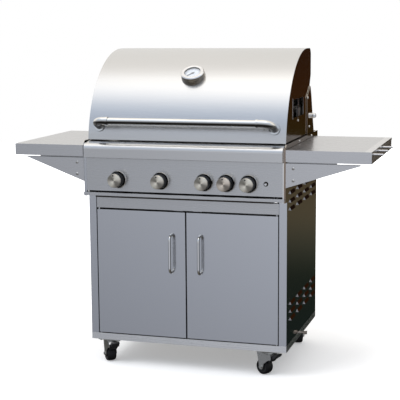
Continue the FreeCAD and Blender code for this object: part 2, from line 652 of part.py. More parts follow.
def hood_skin():
    """Rolled hood skin: front arc, flat top and kneed back, with a hem along the front bottom edge."""
    s, m, t, f, cm, ce, k, b = hood_section(0, -HOOD_HALF)
    si, mi, ti, fi, cmi, cei, ki, bi = hood_section(SHEET, -HOOD_HALF)
    hem = V(-HOOD_HALF, s.y + 14, HOOD_BOTTOM)
    hem_i = V(-HOOD_HALF, s.y + 14, HOOD_BOTTOM + SHEET)
    edges = [line(hem, s), arc(s, m, t), line(t, f), arc(f, cm, ce), line(ce, k), line(k, b),
             line(b, bi), line(bi, ki), line(ki, cei), arc(cei, cmi, fi), line(fi, ti),
             arc(ti, mi, si), line(si, hem_i), line(hem_i, hem)]
    skin = Part.Face(Part.Wire(edges)).extrude(V(2 * HOOD_HALF, 0, 0))
    centre = on_circle_yz(HOOD_ARC_Y, HOOD_ARC_Z, HOOD_R, GAUGE_ANGLE)
    out = hood_normal(GAUGE_ANGLE)
    hole = Part.makeCylinder(6, 20, centre - out * 10, out)
    return cut(skin, [hole])


def hood_cap():
    """Right end of the hood: flat cap inside the skin, with its framed window and pivot hole."""
    x0 = HOOD_HALF - 1.7
    x1 = HOOD_HALF - 0.2
    start, mid, top, flat_end, corner_mid, corner_end, knee, foot = hood_section(SHEET, x0)
    round_start = V(x0, 150, PIVOT_Z - 20)
    round_end = V(x0, 137, HOOD_BOTTOM + SHEET)
    round_mid = V(x0, 152, 945)
    edges = [arc(start, mid, top), line(top, flat_end), arc(flat_end, corner_mid, corner_end),
             line(corner_end, knee), line(knee, foot), line(foot, round_start),
             arc(round_start, round_mid, round_end), line(round_end, start)]
    plate = Part.Face(Part.Wire(edges)).extrude(V(x1 - x0, 0, 0))
    y0, y1, z0, z1 = -172.0, 18.0, 1009.0, 1080.0
    mullion_y = -77.0
    proud = x1 + 1.0
    frame = cut(box(x1, proud, y0 - 5, y1 + 5, z0 - 5, z1 + 5), [box(x1 - 1, x1 + 3, y0, y1, z0, z1)])
    mullion = box(x0, proud, mullion_y - 5, mullion_y + 5, z0 - 8, z1 + 5)
    rivet = bolt_head((x1, mullion_y, z0 - 16), (1, 0, 0), 5, 3.5)
    window = box(x0 - 1, x1 + 1, y0, y1, z0, z1)
    pivot = rod(5 + RUN, (x0 - 1, PIVOT_Y, PIVOT_Z), (x1 + 1, PIVOT_Y, PIVOT_Z))
    return cut(fuse([cut(plate, [window]), frame, mullion, rivet]), [pivot])


def hood_handle_tube():
    return rod(HANDLE_R, (-HANDLE_HALF, HANDLE_Y, HANDLE_Z), (HANDLE_HALF, HANDLE_Y, HANDLE_Z))


def handle_foot():
    """Turn of the hood's arc where the handle stands, and the point on the skin there."""
    turn = math.degrees(math.asin((HANDLE_FOOT_Z - HOOD_ARC_Z) / HOOD_R))
    return turn, on_circle_yz(HOOD_ARC_Y, HOOD_ARC_Z, HOOD_R, turn, HANDLE_END_X)


def handle_end():
    """Right elbow casting of the hood handle, with its round flange on the skin."""
    turn, foot = handle_foot()
    out = hood_normal(turn)
    tube_end = (HANDLE_HALF, HANDLE_Y, HANDLE_Z)
    corner = (HANDLE_END_X, HANDLE_Y, HANDLE_Z)
    elbow = bent_tube([tube_end, corner, tuple(foot + out * 2)], 14.5, HANDLE_BEND)
    collar = rod(16, (HANDLE_HALF, HANDLE_Y, HANDLE_Z), (HANDLE_HALF + 8, HANDLE_Y, HANDLE_Z))
    flange = Part.makeCylinder(21, 6, foot, out)
    below = Part.makeCylinder(24, 20, foot - out * 20, out)
    return cut(fuse([elbow, collar, flange]), [below])


def handle_ends():
    right = handle_end()
    return Part.makeCompound([right, mirrored(right)])


def gauge_frame():
    """Foot of the gauge's axis on the hood, and the direction it faces."""
    centre = on_circle_yz(HOOD_ARC_Y, HOOD_ARC_Z, HOOD_R, GAUGE_ANGLE)
    return centre, hood_normal(GAUGE_TILT)


def hood_gauge():
    """Thermometer: drum housing cut to the hood's curve, with dial floor, probe, nut and glass."""
    centre, out = gauge_frame()
    floor = GAUGE_DEPTH - 9
    profile = [(0, -14), (GAUGE_R, -14), (GAUGE_R, GAUGE_DEPTH - 4), (GAUGE_R - 3.7, GAUGE_DEPTH),
               (DIAL_R + 1, GAUGE_DEPTH), (DIAL_R, GAUGE_DEPTH - 2), (DIAL_R, floor), (0, floor)]
    hood_round = rod(HOOD_R, (-60, HOOD_ARC_Y, HOOD_ARC_Z), (60, HOOD_ARC_Y, HOOD_ARC_Z))
    drum = cut(lathe(profile, tuple(centre), tuple(out)), [hood_round])
    probe = Part.makeCylinder(3, 75, centre - out * 72, out)
    normal = hood_normal(GAUGE_ANGLE)
    nut = Part.makeCylinder(10, 5, centre - normal * (SHEET + 5.25), normal)
    bore = Part.makeCylinder(1.5 + RUN, 12, centre + out * (floor - 10), out)
    glass = Part.makeCylinder(DIAL_R - 0.2, 2, centre + out * (GAUGE_DEPTH - 4), out)
    return Part.makeCompound([cut(fuse([drum, probe, nut]), [bore]), glass])


def gauge_needle():
    """Pointer on its spindle, free to turn under the glass."""
    centre, out = gauge_frame()
    floor = GAUGE_DEPTH - 9
    spindle = Part.makeCylinder(1.5, 11, centre + out * (floor - 8), out)
    hub = Part.makeCylinder(4, 1.2, centre + out * (floor + 1.8), out)
    point = prism_xz([(-1.6, -9), (1.6, -9), (0.9, 28), (-0.9, 28)], 0, 1)
    point.rotate(V(0, 0, 0), V(0, 1, 0), NEEDLE_REST)
    tilt = FreeCAD.Placement(centre + out * (floor + 3.0), FreeCAD.Rotation(V(0, 1, 0), out * -1))
    point.Placement = tilt.multiply(point.Placement)
    return fuse([spindle, hub, point])


def hood_bolts():
    """Bolt heads and nuts that hold the handle castings, inside the hood."""
    turn, foot = handle_foot()
    out = hood_normal(turn)
    inside = foot - out * (SHEET + 0.12)
    bolts = []
    for side in (-1, 1):
        place = V(side * inside.x, inside.y, inside.z)
        bolts.append(Part.makeCylinder(9, 2, place - out * 2, out))
        bolts.append(Part.makeCylinder(6, 5, place - out * 7, out))
    return Part.makeCompound(bolts)


# ---------------------------------------------------------------- controls
def knob(x):
    """Control knob: flared skirt, metal cap in front and the socket for the stem."""
    depth = KNOB_BACK - KNOB_FACE
    profile = [(0, 0), (KNOB_R, 0), (KNOB_R, 4), (KNOB_R - 3, depth - 12), (KNOB_R - 3, depth - 9),
               (KNOB_CAP_R, depth - 9), (KNOB_CAP_R, depth - 2), (KNOB_CAP_R - 2, depth), (0, depth)]
    body = lathe(profile, (x, KNOB_BACK, KNOB_Z), (0, -1, 0))
    socket = rod(STEM_R + RUN, (x, KNOB_BACK + 1, KNOB_Z), (x, STEM_TIP - 0.5, KNOB_Z))
    return cut(body, [socket])


def valve_stem(x):
    """Sprung stem that slides in the valve and carries the knob."""
    stem = rod(STEM_R, (x, STEM_TIP, KNOB_Z), (x, -297, KNOB_Z))
    collar = rod(6, (x, -320, KNOB_Z), (x, -316, KNOB_Z))
    return fuse([stem, collar])


def ignition_button():
    """Push button of the spark igniter."""
    cap = lathe([(0, 0), (BUTTON_R - 0.3, 0), (BUTTON_R - 0.3, 5), (BUTTON_R - 2, 7), (0, 7)],
                (BUTTON_X, HEAD_FRONT - 4.5, BUTTON_Z), (0, -1, 0))
    shank = rod(4.5, (BUTTON_X, HEAD_FRONT - 4.5, BUTTON_Z), (BUTTON_X, -326.5, BUTTON_Z))
    return fuse([cap, shank])


# ---------------------------------------------------------------- shelves
def shelf(inner, outer):
    """Side shelf pan: flat top with folded edges."""
    x0, x1 = sorted((inner, outer))
    body = box(x0, x1, SHELF_FRONT, SHELF_BACK, SHELF_BOTTOM, SHELF_TOP)
    hollow = box(x0 + SHEET, x1 - SHEET, SHELF_FRONT + SHEET, SHELF_BACK - SHEET,
                 SHELF_BOTTOM - 1, SHELF_TOP - SHEET)
    rib = box(x0 + SHEET, x1 - SHEET, -60, -60 + SHEET, SHELF_TOP - 25, SHELF_TOP - SHEET)
    return fuse([cut(body, [hollow]), rib])


def tool_hook_rail():
    """End rail of the right shelf with three tool pegs."""
    x0 = RIGHT_SHELF_END
    x1 = x0 + HOOK_RAIL_W
    body = box(x0, x1, SHELF_FRONT, SHELF_BACK, SHELF_BOTTOM, SHELF_TOP)
    hollow = box(x0 + SHEET, x1 - SHEET, SHELF_FRONT + SHEET, SHELF_BACK - SHEET,
                 SHELF_BOTTOM - 1, SHELF_TOP - SHEET)
    parts = [cut(body, [hollow])]
    for y in PEG_Y:
        parts.append(rod(PEG_R, (x1 - SHEET, y, PEG_Z), (x1 + PEG_LENGTH - PEG_R, y, PEG_Z)))
        parts.append(Part.makeSphere(PEG_R, V(x1 + PEG_LENGTH - PEG_R, y, PEG_Z)))
    return fuse(parts)


def shelf_brackets():
    """Triangular brackets under the front and back of each shelf, with an upstand to its underside."""
    brackets = []
    depth = 14.0
    root = SHELF_INNER - 0.8
    for side, tip in ((-1, LEFT_SHELF_END - 46), (1, RIGHT_SHELF_END - 8)):
        for face, inward in ((SHELF_FRONT + BRACKET_SET_BACK, 1), (SHELF_BACK - BRACKET_SET_BACK, -1)):
            y0, y1 = sorted((face, face + inward * depth))
            web = prism_xz([(side * root, BRACKET_LOW), (side * root, BRACKET_TOP), (side * tip, BRACKET_TOP)],
                           face, face + inward * SHEET)
            fold = prism_xz([(side * root, BRACKET_LOW), (side * tip, BRACKET_TOP),
                             (side * tip, BRACKET_TOP - 1.6), (side * root, BRACKET_LOW - 1.6)], y0, y1)
            foot = box(*sorted((side * root, side * (root + SHEET))), y0, y1, BRACKET_LOW, BRACKET_TOP)
            lid = box(*sorted((side * root, side * (tip - 8))), y0, y1, BRACKET_TOP - SHEET, BRACKET_TOP)
            stand_y = sorted((face + inward * (depth - SHEET), face + inward * depth))
            upstand = box(*sorted((side * (SHELF_INNER + 3), side * 600)), *stand_y,
                          BRACKET_TOP - SHEET, SHELF_TOP - SHEET)
            brackets.append(fuse([web, fold, foot, lid, upstand]))
    return Part.makeCompound(brackets)


def fasteners():
    """Visible bolt heads that stay with the frame."""
    heads = []
    for side in (-1, 1):
        axis = (side, 0, 0)
        for y, z in ((-78, 912), (162, 911)):
            heads.append(bolt_head((side * HEAD_OUT, y, z), axis, 4.5, 3))
        for y, z in ((97, 1071), (131, 951)):
            heads.append(bolt_head((side * 404.3, y, z), axis, 4.5, 3))
        for z in (834, 788):
            heads.append(bolt_head((side * 437, SHELF_FRONT + BRACKET_SET_BACK, z), (0, -1, 0), 6, 4))
            heads.append(bolt_head((side * 437, SHELF_BACK - BRACKET_SET_BACK, z), (0, 1, 0), 6, 4))
        for y in (-1, 1):
            for dx in (-38, 38):
                for dy in (-24, 24):
                    place = (side * CASTER_X + dx, y * CASTER_Y + dy, CART_BOTTOM - PLATE_T)
                    heads.append(bolt_head(place, (0, 0, -1), 6, 4.5))
        for z in (160, 660):
            heads.append(bolt_head((side * 390, CART_HALF_D, z), (0, 1, 0), 4.5, BACK_BOLT_H))
    return Part.makeCompound(heads)


# ---------------------------------------------------------------- casters
def place_caster(shape, index):
    """Turn a caster part, made with its trail along +x, to its own direction and corner."""
    sx = -1 if index in (0, 2) else 1
    sy = -1 if index < 2 else 1
    turned = shape.copy()
    corner = FreeCAD.Placement(V(sx * CASTER_X, sy * CASTER_Y, 0),
                               FreeCAD.Rotation(V(0, 0, 1), CASTER_TRAIL[index]))
    turned.Placement = corner.multiply(turned.Placement)
    return turned


def caster_fork():
    """Swivel head and two legs of the fork, with the axle bolt."""
    top = CART_BOTTOM - PLATE_T - 0.4
    height = top - 88.4
    race = lathe([(6.3, 0), (20, 0), (24.5, 1.5), (26.5, 4), (26.5, 8), (24.5, 11), (20, height), (6.3, height)],
                 (0, 0, 88.4), (0, 0, 1))
    room = rod(9.4, (0, 0, 83), (0, 0, 88.4))
    inner = FORK_INNER
    outer = FORK_OUTER
    leg_line = [(-19, 92), (50, 92), (50, 86), (40, 42), (38, 28), (33, 22), (25, 22), (20, 28), (14, 48),
                (-10, 66), (-22, 68), (-24, 78)]
    legs = [prism_xz(leg_line, y0, y0 + outer - inner) for y0 in (-outer, inner)]
    crown = box(-19, 50, -outer, outer, 88.6, 92)
    body = cut(fuse([race, crown] + legs), [room, rod(6.3, (0, 0, 80), (0, 0, top + 1))])
    axle = rod(4, (TRAIL, -outer - 4, WHEEL_R), (TRAIL, outer + 4, WHEEL_R))
    head = rod(6.5, (TRAIL, -outer - 4.5, WHEEL_R), (TRAIL, -outer, WHEEL_R))
    nut = rod(6.5, (TRAIL, outer, WHEEL_R), (TRAIL, outer + 5, WHEEL_R))
    return Part.makeCompound([cut(body, [axle]), fuse([axle, head, nut])])


def caster_wheel():
    """Solid rubber wheel with a rounded tread and a plain bore."""
    half = WHEEL_HALF_W
    rim = WHEEL_R
    profile = [(4 + RUN, -half), (13, -half), (15, -half + 2), (22, -half + 2), (24, -half), (27, -half),
               (rim - 1.2, -half + 5), (rim, -half + 9), (rim, half - 9), (rim - 1.2, half - 5), (27, half),
               (24, half), (22, half - 2), (15, half - 2), (13, half), (4 + RUN, half)]
    return lathe(profile, (TRAIL, 0, WHEEL_R), (0, 1, 0))


def brake_pedal():
    """Foot brake lever, hinged across the fork on the side away from the wheel."""
    lever = prism_xz([(-50, 90), (-46, 94), (-30, 90), (-22, 84), (-8, 66), (-4, 58), (-10, 56), (-24, 70),
                      (-40, 80)], -16, 16)
    reach = FORK_INNER - 0.2
    eye = rod(4.2, (PEDAL_X, -reach, PEDAL_Z), (PEDAL_X, reach, PEDAL_Z))
    return fuse([lever, eye])


# ---------------------------------------------------------------- export
def build():
    right_side = cart_side()
    right_head = head_side()
    right_cap = hood_cap()
    nodes = {
        "cart_base_pan": cart_base_pan(),
        "cart_left_side": mirrored(right_side),
        "cart_right_side": right_side,
        "cart_rear_panel": cart_rear_panel(),
        "cart_rails": cart_rails(),
        "hinge_hardware": hinge_hardware(),
        "caster_plates": caster_plates(),
        "left_door": door(-1),
        "right_door": door(1),
        "left_door_handle": door_handle(-1),
        "right_door_handle": door_handle(1),
        "grease_tray": grease_tray(),
        "tank_screw": tank_screw(),
        "head_left_side": mirrored(right_head),
        "head_right_side": right_head,
        "firebox": firebox(),
        "rear_cowl": rear_cowl(),
        "front_bullnose": front_bullnose(),
        "control_panel": control_panel(),
        "knob_bezels": knob_bezels(),
        "gas_manifold": gas_manifold(),
        "burner_controls": burner_controls(),
        "burners": burners(),
        "flame_tamers": flame_tamers(),
        "cooking_grates": cooking_grates(),
        "warming_rack": warming_rack(),
        "hood_skin": hood_skin(),
        "hood_left_cap": mirrored(right_cap),
        "hood_right_cap": right_cap,
        "hood_handle_tube": hood_handle_tube(),
        "hood_handle_ends": handle_ends(),
        "hood_gauge": hood_gauge(),
        "gauge_needle": gauge_needle(),
        "hood_bolts": hood_bolts(),
        "ignition_button": ignition_button(),
        "left_shelf": shelf(-SHELF_INNER, -LEFT_SHELF_END),
        "right_shelf": shelf(SHELF_INNER, RIGHT_SHELF_END),
        "tool_hook_rail": tool_hook_rail(),
        "shelf_brackets": shelf_brackets(),
        "fasteners": fasteners(),
    }
    for number, x in enumerate(KNOB_X, start=1):
        nodes["knob_%d" % number] = knob(x)
        nodes["valve_stem_%d" % number] = valve_stem(x)
    for index in range(4):
        nodes["caster_fork_%d" % (index + 1)] = place_caster(caster_fork(), index)
        nodes["caster_wheel_%d" % (index + 1)] = place_caster(caster_wheel(), index)
    for index in range(2):
        nodes["brake_pedal_%d" % (index + 1)] = place_caster(brake_pedal(), index)
    return nodes


def export(nodes):
    os.makedirs("parts", exist_ok=True)
    for name, shape in nodes.items():
        placed = shape.copy()
        placed.translate(SHIFT)
        placed.exportStep("parts/%s.step" % name)
        print(name, len(placed.Solids), "solids", "valid" if placed.isValid() else "INVALID")


export(build())
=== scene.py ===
import json
import math

import bmesh
import bpy
from mathutils import Matrix, Quaternion, Vector


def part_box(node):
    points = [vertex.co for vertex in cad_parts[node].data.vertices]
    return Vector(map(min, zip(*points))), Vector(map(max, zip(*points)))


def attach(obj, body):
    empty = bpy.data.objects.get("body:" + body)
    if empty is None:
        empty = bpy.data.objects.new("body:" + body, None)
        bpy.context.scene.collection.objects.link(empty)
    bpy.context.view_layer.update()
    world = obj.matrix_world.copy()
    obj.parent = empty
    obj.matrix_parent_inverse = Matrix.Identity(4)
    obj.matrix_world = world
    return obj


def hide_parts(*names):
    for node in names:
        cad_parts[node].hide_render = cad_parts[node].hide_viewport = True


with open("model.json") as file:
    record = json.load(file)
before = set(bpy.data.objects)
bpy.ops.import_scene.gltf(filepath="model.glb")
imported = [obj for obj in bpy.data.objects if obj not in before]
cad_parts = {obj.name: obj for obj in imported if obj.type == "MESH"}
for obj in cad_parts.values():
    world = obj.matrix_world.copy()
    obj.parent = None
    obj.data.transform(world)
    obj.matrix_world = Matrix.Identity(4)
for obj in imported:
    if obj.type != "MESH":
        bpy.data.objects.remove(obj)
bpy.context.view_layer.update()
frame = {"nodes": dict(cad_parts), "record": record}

scene = bpy.context.scene
nodes = frame["nodes"]

# Design places are in millimetres from the cart's centre at floor level; MM turns them into
# the frame's metres, and CART is that centre in the frame.
MM = 0.001
pan_low, pan_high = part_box("cart_base_pan")
CART = Vector(((pan_low.x + pan_high.x) / 2, (pan_low.y + pan_high.y) / 2, 0.0))


def at(x, y, z):
    """Place in the frame of a design place in millimetres."""
    return CART + Vector((x, y, z)) * MM


# ---------------------------------------------------------------- camera
CAMERA_TARGET = at(2.7, -105.5, 663.9)
CAMERA_DISTANCE = 4.5887
CAMERA_AZIMUTH = math.radians(16.888)
CAMERA_ELEVATION = math.radians(8.856)
CAMERA_ROLL = math.radians(-0.416)
CAMERA_LENS = 101.56


def add_camera():
    back = Vector((math.sin(CAMERA_AZIMUTH) * math.cos(CAMERA_ELEVATION),
                   -math.cos(CAMERA_AZIMUTH) * math.cos(CAMERA_ELEVATION),
                   math.sin(CAMERA_ELEVATION)))
    data = bpy.data.cameras.new("camera")
    data.lens = CAMERA_LENS
    data.sensor_width = 36.0
    data.clip_end = 100.0
    camera = bpy.data.objects.new("camera", data)
    scene.collection.objects.link(camera)
    camera.location = CAMERA_TARGET + back * CAMERA_DISTANCE
    camera.rotation_mode = "QUATERNION"
    aim = (-back).to_track_quat("-Z", "Y")
    camera.rotation_quaternion = aim @ Quaternion((0, 0, 1), CAMERA_ROLL)
    scene.camera = camera


# ---------------------------------------------------------------- node helpers
class Shader:
    """A material's node tree with short calls for the nodes used here."""

    def __init__(self, name):
        self.material = bpy.data.materials.new(name)
        self.material.use_nodes = True
        self.tree = self.material.node_tree
        self.bsdf = self.tree.nodes["Principled BSDF"]

    def node(self, kind, **settings):
        made = self.tree.nodes.new(kind)
        for key, value in settings.items():
            setattr(made, key, value)
        return made

    def link(self, source, target):
        self.tree.links.new(source, target)

    def set(self, **values):
        """Set inputs of the main shader, such as metallic or ior."""
        for key, value in values.items():
            socket = key.replace("_", " ").title().replace("Ior", "IOR")
            self.bsdf.inputs[socket].default_value = value

    def noise(self, scale, detail=2.0, roughness=0.5):
        """Noise in the object's coordinates, with its own number of cells a metre along each axis."""
        place = self.node("ShaderNodeTexCoord")
        mapping = self.node("ShaderNodeMapping")
        mapping.inputs["Scale"].default_value = scale
        self.link(place.outputs["Object"], mapping.inputs["Vector"])
        made = self.node("ShaderNodeTexNoise")
        made.inputs["Scale"].default_value = 1.0
        made.inputs["Detail"].default_value = detail
        made.inputs["Roughness"].default_value = roughness
        self.link(mapping.outputs["Vector"], made.inputs["Vector"])
        return made.outputs["Fac"]

    def ramp(self, value, low, high, stops=(0.3, 0.7)):
        """Colour that goes from low to high while value goes from one stop to the other."""
        made = self.node("ShaderNodeValToRGB")
        made.color_ramp.elements[0].position = stops[0]
        made.color_ramp.elements[1].position = stops[1]
        made.color_ramp.elements[0].color = (*low, 1.0)
        made.color_ramp.elements[1].color = (*high, 1.0)
        self.link(value, made.inputs["Fac"])
        return made.outputs["Color"]

    def remap(self, value, low, high, stops=(0.3, 0.7)):
        """Number that goes from low to high while value goes from one stop to the other."""
        made = self.node("ShaderNodeMapRange")
        made.inputs["From Min"].default_value = stops[0]
        made.inputs["From Max"].default_value = stops[1]
        made.inputs["To Min"].default_value = low
        made.inputs["To Max"].default_value = high
        self.link(value, made.inputs["Value"])
        return made.outputs["Result"]

    def add(self, first, second):
        made = self.node("ShaderNodeMath", operation="ADD")
        self.link(first, made.inputs[0])
        self.link(second, made.inputs[1])
        return made.outputs[0]

    def scaled(self, value, factor):
        made = self.node("ShaderNodeMath", operation="MULTIPLY")
        made.inputs[1].default_value = factor
        self.link(value, made.inputs[0])
        return made.outputs[0]

    def multiply(self, colour, factor):
        made = self.node("ShaderNodeVectorMath", operation="SCALE")
        self.link(colour, made.inputs[0])
        self.link(factor, made.inputs["Scale"])
        return made.outputs["Vector"]

    def split(self, vector):
        """The X, Y and Z sockets of a vector."""
        made = self.node("ShaderNodeSeparateXYZ")
        self.link(vector, made.inputs["Vector"])
        return made.outputs

    def painted_ground_reflection(self, darkest, stops=(-0.2, 0.3)):
        """Factor below one on surfaces that face down: a painted reflection of the dark ground."""
        place = self.node("ShaderNodeNewGeometry")
        return self.remap(self.split(place.outputs["Normal"])["Z"], darkest, 1.0, stops)

    def painted_side_shade(self, darkest, stops=(0.35, 0.85)):
        """Factor below one on surfaces that face left or right: painted shade on the sides."""
        place = self.node("ShaderNodeNewGeometry")
        size = self.node("ShaderNodeMath", operation="ABSOLUTE")
        self.link(self.split(place.outputs["Normal"])["X"], size.inputs[0])
        return self.remap(size.outputs[0], 1.0, darkest, stops)

    def painted_crevice_shade(self, distance=0.009, darkest=0.10):
        """Factor below one in seams and folds: painted shade that darkens the colour where light is blocked.
        """
        made = self.node("ShaderNodeAmbientOcclusion", samples=4)
        made.inputs["Distance"].default_value = distance
        return self.remap(made.outputs["AO"], darkest, 1.0, (0.25, 0.75))

    def bump(self, height, strength, distance, edge=0.0):
        """Surface relief; edge is the radius in metres to which sharp edges look rounded."""
        made = self.node("ShaderNodeBump")
        made.inputs["Strength"].default_value = strength
        made.inputs["Distance"].default_value = distance
        self.link(height, made.inputs["Height"])
        if edge:
            rounded = self.node("ShaderNodeBevel", samples=4)
            rounded.inputs["Radius"].default_value = edge
            self.link(rounded.outputs["Normal"], made.inputs["Normal"])
        self.link(made.outputs["Normal"], self.bsdf.inputs["Normal"])

    def grain_direction(self, direction):
        """Stretch the sheen across a brushing direction."""
        made = self.node("ShaderNodeCombineXYZ")
        for socket, value in zip(made.inputs, direction):
            socket.default_value = value
        self.link(made.outputs["Vector"], self.bsdf.inputs["Tangent"])
        self.set(anisotropic=0.6, anisotropic_rotation=0.25)


GRAIN = {"x": (6, 1500, 1500), "y": (1500, 6, 1500), "z": (1500, 1500, 6)}
ALONG = {"x": (1.0, 0.0, 0.0), "y": (0.0, 1.0, 0.0), "z": (0.0, 0.0, 1.0)}


def steel(name, colour=(0.62, 0.62, 0.62), grain="x", rough=0.25, wave=0.25, streak=0.035, spread=0.04,
          edge=0.0007):
    """Sheet steel brushed along one axis, with the slight waviness of a pressed sheet and painted shade
    darkening its seams and folds.
    """
    s = Shader(name)
    s.set(metallic=1.0)
    brushed = s.noise(GRAIN[grain], detail=3.0, roughness=0.7)
    broad = s.noise((2.2, 2.2, 2.2), detail=2.0)
    darker = tuple(c * (1 - streak) for c in colour)
    lighter = tuple(min(1.0, c * (1 + streak)) for c in colour)
    s.grain_direction(ALONG[grain])
    # painted shade: the colour is darkened in seams and folds
    s.link(s.multiply(s.ramp(brushed, darker, lighter), s.painted_crevice_shade()), s.bsdf.inputs["Base Color"])
    both = s.add(s.scaled(brushed, 0.6), s.scaled(broad, 0.4))
    s.link(s.remap(both, rough - spread, rough + spread), s.bsdf.inputs["Roughness"])
    swell = s.noise((5, 5, 5), detail=1.0)
    height = s.add(s.scaled(brushed, 0.00002), s.scaled(swell, 0.001 * wave))
    s.bump(height, 1.0, 1.0, edge=edge)
    return s.material


def polished(name, colour=(0.78, 0.78, 0.78), rough=0.07, painted_underside_dark=1.0, painted_sides_dark=1.0):
    """Polished metal with faint hand marks; it can paint a darker reflection on what faces down and painted
    shade on what faces sideways.
    """
    s = Shader(name)
    s.set(metallic=1.0)
    marks = s.noise((60, 60, 60), detail=4.0, roughness=0.6)
    shade = s.ramp(marks, tuple(c * 0.94 for c in colour), colour)
    if painted_underside_dark < 1.0:
        shade = s.multiply(shade, s.painted_ground_reflection(painted_underside_dark))
    if painted_sides_dark < 1.0:
        shade = s.multiply(shade, s.painted_side_shade(painted_sides_dark))
    s.link(shade, s.bsdf.inputs["Base Color"])
    s.link(s.remap(marks, rough * 0.7, rough * 1.6), s.bsdf.inputs["Roughness"])
    s.bump(s.scaled(marks, 0.00002), 1.0, 1.0)
    return s.material


PAINTED_FAN_TURN = math.radians(40.0)       # clockwise from straight up, where the painted fan highlights on the turned faces are brightest
PAINTED_FAN_DARK = 0.50
PAINTED_FAN_BRIGHT = 1.55


def spun_with_painted_fans(name, centre, colour=(0.66, 0.65, 0.62), rough=0.34):
    """Metal face turned on a lathe about a centre: fine rings, the stretched sheen they give, and fan-shaped
    highlights painted into the colour.
    """
    s = Shader(name)
    s.set(metallic=1.0, anisotropic=0.92, anisotropic_rotation=0.25)
    place = s.node("ShaderNodeNewGeometry")
    arm = s.node("ShaderNodeVectorMath", operation="SUBTRACT")
    arm.inputs[1].default_value = centre
    s.link(place.outputs["Position"], arm.inputs[0])
    ring = s.node("ShaderNodeVectorMath", operation="CROSS_PRODUCT")
    ring.inputs[1].default_value = (0.0, -1.0, 0.0)
    s.link(arm.outputs["Vector"], ring.inputs[0])
    s.link(ring.outputs["Vector"], s.bsdf.inputs["Tangent"])
    fine = s.noise((700, 40, 700), detail=2.0)
    arm_parts = s.split(arm.outputs["Vector"])
    turn = s.node("ShaderNodeMath", operation="ARCTAN2")
    s.link(arm_parts["X"], turn.inputs[0])
    s.link(arm_parts["Z"], turn.inputs[1])
    twice = s.node("ShaderNodeMath", operation="MULTIPLY_ADD")
    twice.inputs[1].default_value = 2.0
    twice.inputs[2].default_value = -2.0 * PAINTED_FAN_TURN
    s.link(turn.outputs[0], twice.inputs[0])
    fan = s.node("ShaderNodeMath", operation="COSINE")
    s.link(twice.outputs[0], fan.inputs[0])
    # painted highlight: the colour is brightened and darkened in fan-shaped wedges by angle about the centre
    painted_fans = s.remap(fan.outputs[0], PAINTED_FAN_DARK, PAINTED_FAN_BRIGHT, (-0.85, 1.0))
    rings = s.ramp(fine, tuple(c * 0.9 for c in colour), colour)
    s.link(s.multiply(rings, painted_fans), s.bsdf.inputs["Base Color"])
    s.link(s.remap(fine, rough * 0.8, rough * 1.2), s.bsdf.inputs["Roughness"])
    return s.material


def zinc(name):
    """Zinc-plated pressed steel: faint spangle and a yellowish cast."""
    s = Shader(name)
    s.set(metallic=1.0)
    spangle = s.noise((220, 220, 220), detail=2.0)
    worn = s.noise((25, 25, 25), detail=4.0, roughness=0.65)
    s.link(s.ramp(spangle, (0.50, 0.50, 0.48), (0.66, 0.66, 0.63)), s.bsdf.inputs["Base Color"])
    s.link(s.remap(worn, 0.22, 0.42), s.bsdf.inputs["Roughness"])
    s.bump(s.scaled(spangle, 0.00008), 1.0, 1.0)
    return s.material


def rubber(name, colour=(0.018, 0.018, 0.019), rough=0.5, shine=0.5):
    """Black rubber or nylon with a slight mould texture and dusty wear."""
    s = Shader(name)
    s.set(specular_ior_level=shine)
    pits = s.noise((900, 900, 900), detail=2.0)
    dust = s.noise((30, 30, 30), detail=5.0, roughness=0.7)
    s.link(s.ramp(dust, colour, tuple(c * 2.4 + 0.004 for c in colour), (0.45, 0.8)),
           s.bsdf.inputs["Base Color"])
    s.link(s.remap(dust, rough - 0.1, rough + 0.15), s.bsdf.inputs["Roughness"])
    s.bump(s.scaled(pits, 0.00012), 1.0, 1.0)
    return s.material


def brass(name):
    """Cast brass, slightly tarnished."""
    s = Shader(name)
    s.set(metallic=1.0)
    cast = s.noise((140, 140, 140), detail=4.0)
    s.link(s.ramp(cast, (0.45, 0.32, 0.13), (0.66, 0.50, 0.24)), s.bsdf.inputs["Base Color"])
    s.link(s.remap(cast, 0.28, 0.45), s.bsdf.inputs["Roughness"])
    s.bump(s.scaled(cast, 0.0001), 1.0, 1.0)
    return s.material


def used_steel(name, colour=(0.30, 0.28, 0.26)):
    """Satin steel from inside the firebox, lightly browned by heat."""
    s = Shader(name)
    s.set(metallic=1.0)
    heat = s.noise((7, 7, 7), detail=4.0, roughness=0.6)
    grain = s.noise((300, 300, 300), detail=2.0)
    browned = (colour[0] * 0.75, colour[1] * 0.62, colour[2] * 0.5)
    s.link(s.ramp(heat, browned, tuple(c * 1.25 for c in colour)), s.bsdf.inputs["Base Color"])
    s.link(s.remap(heat, 0.32, 0.5), s.bsdf.inputs["Roughness"])
    s.bump(s.scaled(grain, 0.00006), 1.0, 1.0)
    return s.material


# ---------------------------------------------------------------- lights, world and floor
def degrees_up(value):
    """Place of an elevation in degrees on a ramp from straight down to straight up."""
    return (value + 90.0) / 180.0


# elevation in degrees and the studio's brightness there, in front of the object and behind it
FRONT_STUDIO = ((-90, (0.08, 0.07, 0.06)), (-45, (0.12, 0.11, 0.09)), (-25, (0.24, 0.24, 0.25)),
                (-14, (0.38, 0.40, 0.45)), (-8, (0.47, 0.49, 0.54)), (0, (0.52, 0.54, 0.57)),
                (12, (0.60, 0.63, 0.68)), (30, (0.51, 0.59, 0.73)), (42, (0.68, 0.76, 0.89)),
                (58, (1.36, 1.37, 1.40)), (76, (1.88, 1.83, 1.75)), (90, (1.40, 1.34, 1.24)))
BACK_STUDIO = ((-90, (0.05, 0.05, 0.05)), (-30, (0.04, 0.04, 0.04)), (-8, (0.12, 0.12, 0.11)),
               (-2, (0.55, 0.55, 0.55)), (5, (0.85, 0.84, 0.82)), (20, (0.95, 0.93, 0.89)),
               (50, (0.98, 0.95, 0.90)), (70, (1.02, 0.98, 0.93)), (90, (1.36, 1.30, 1.22)))
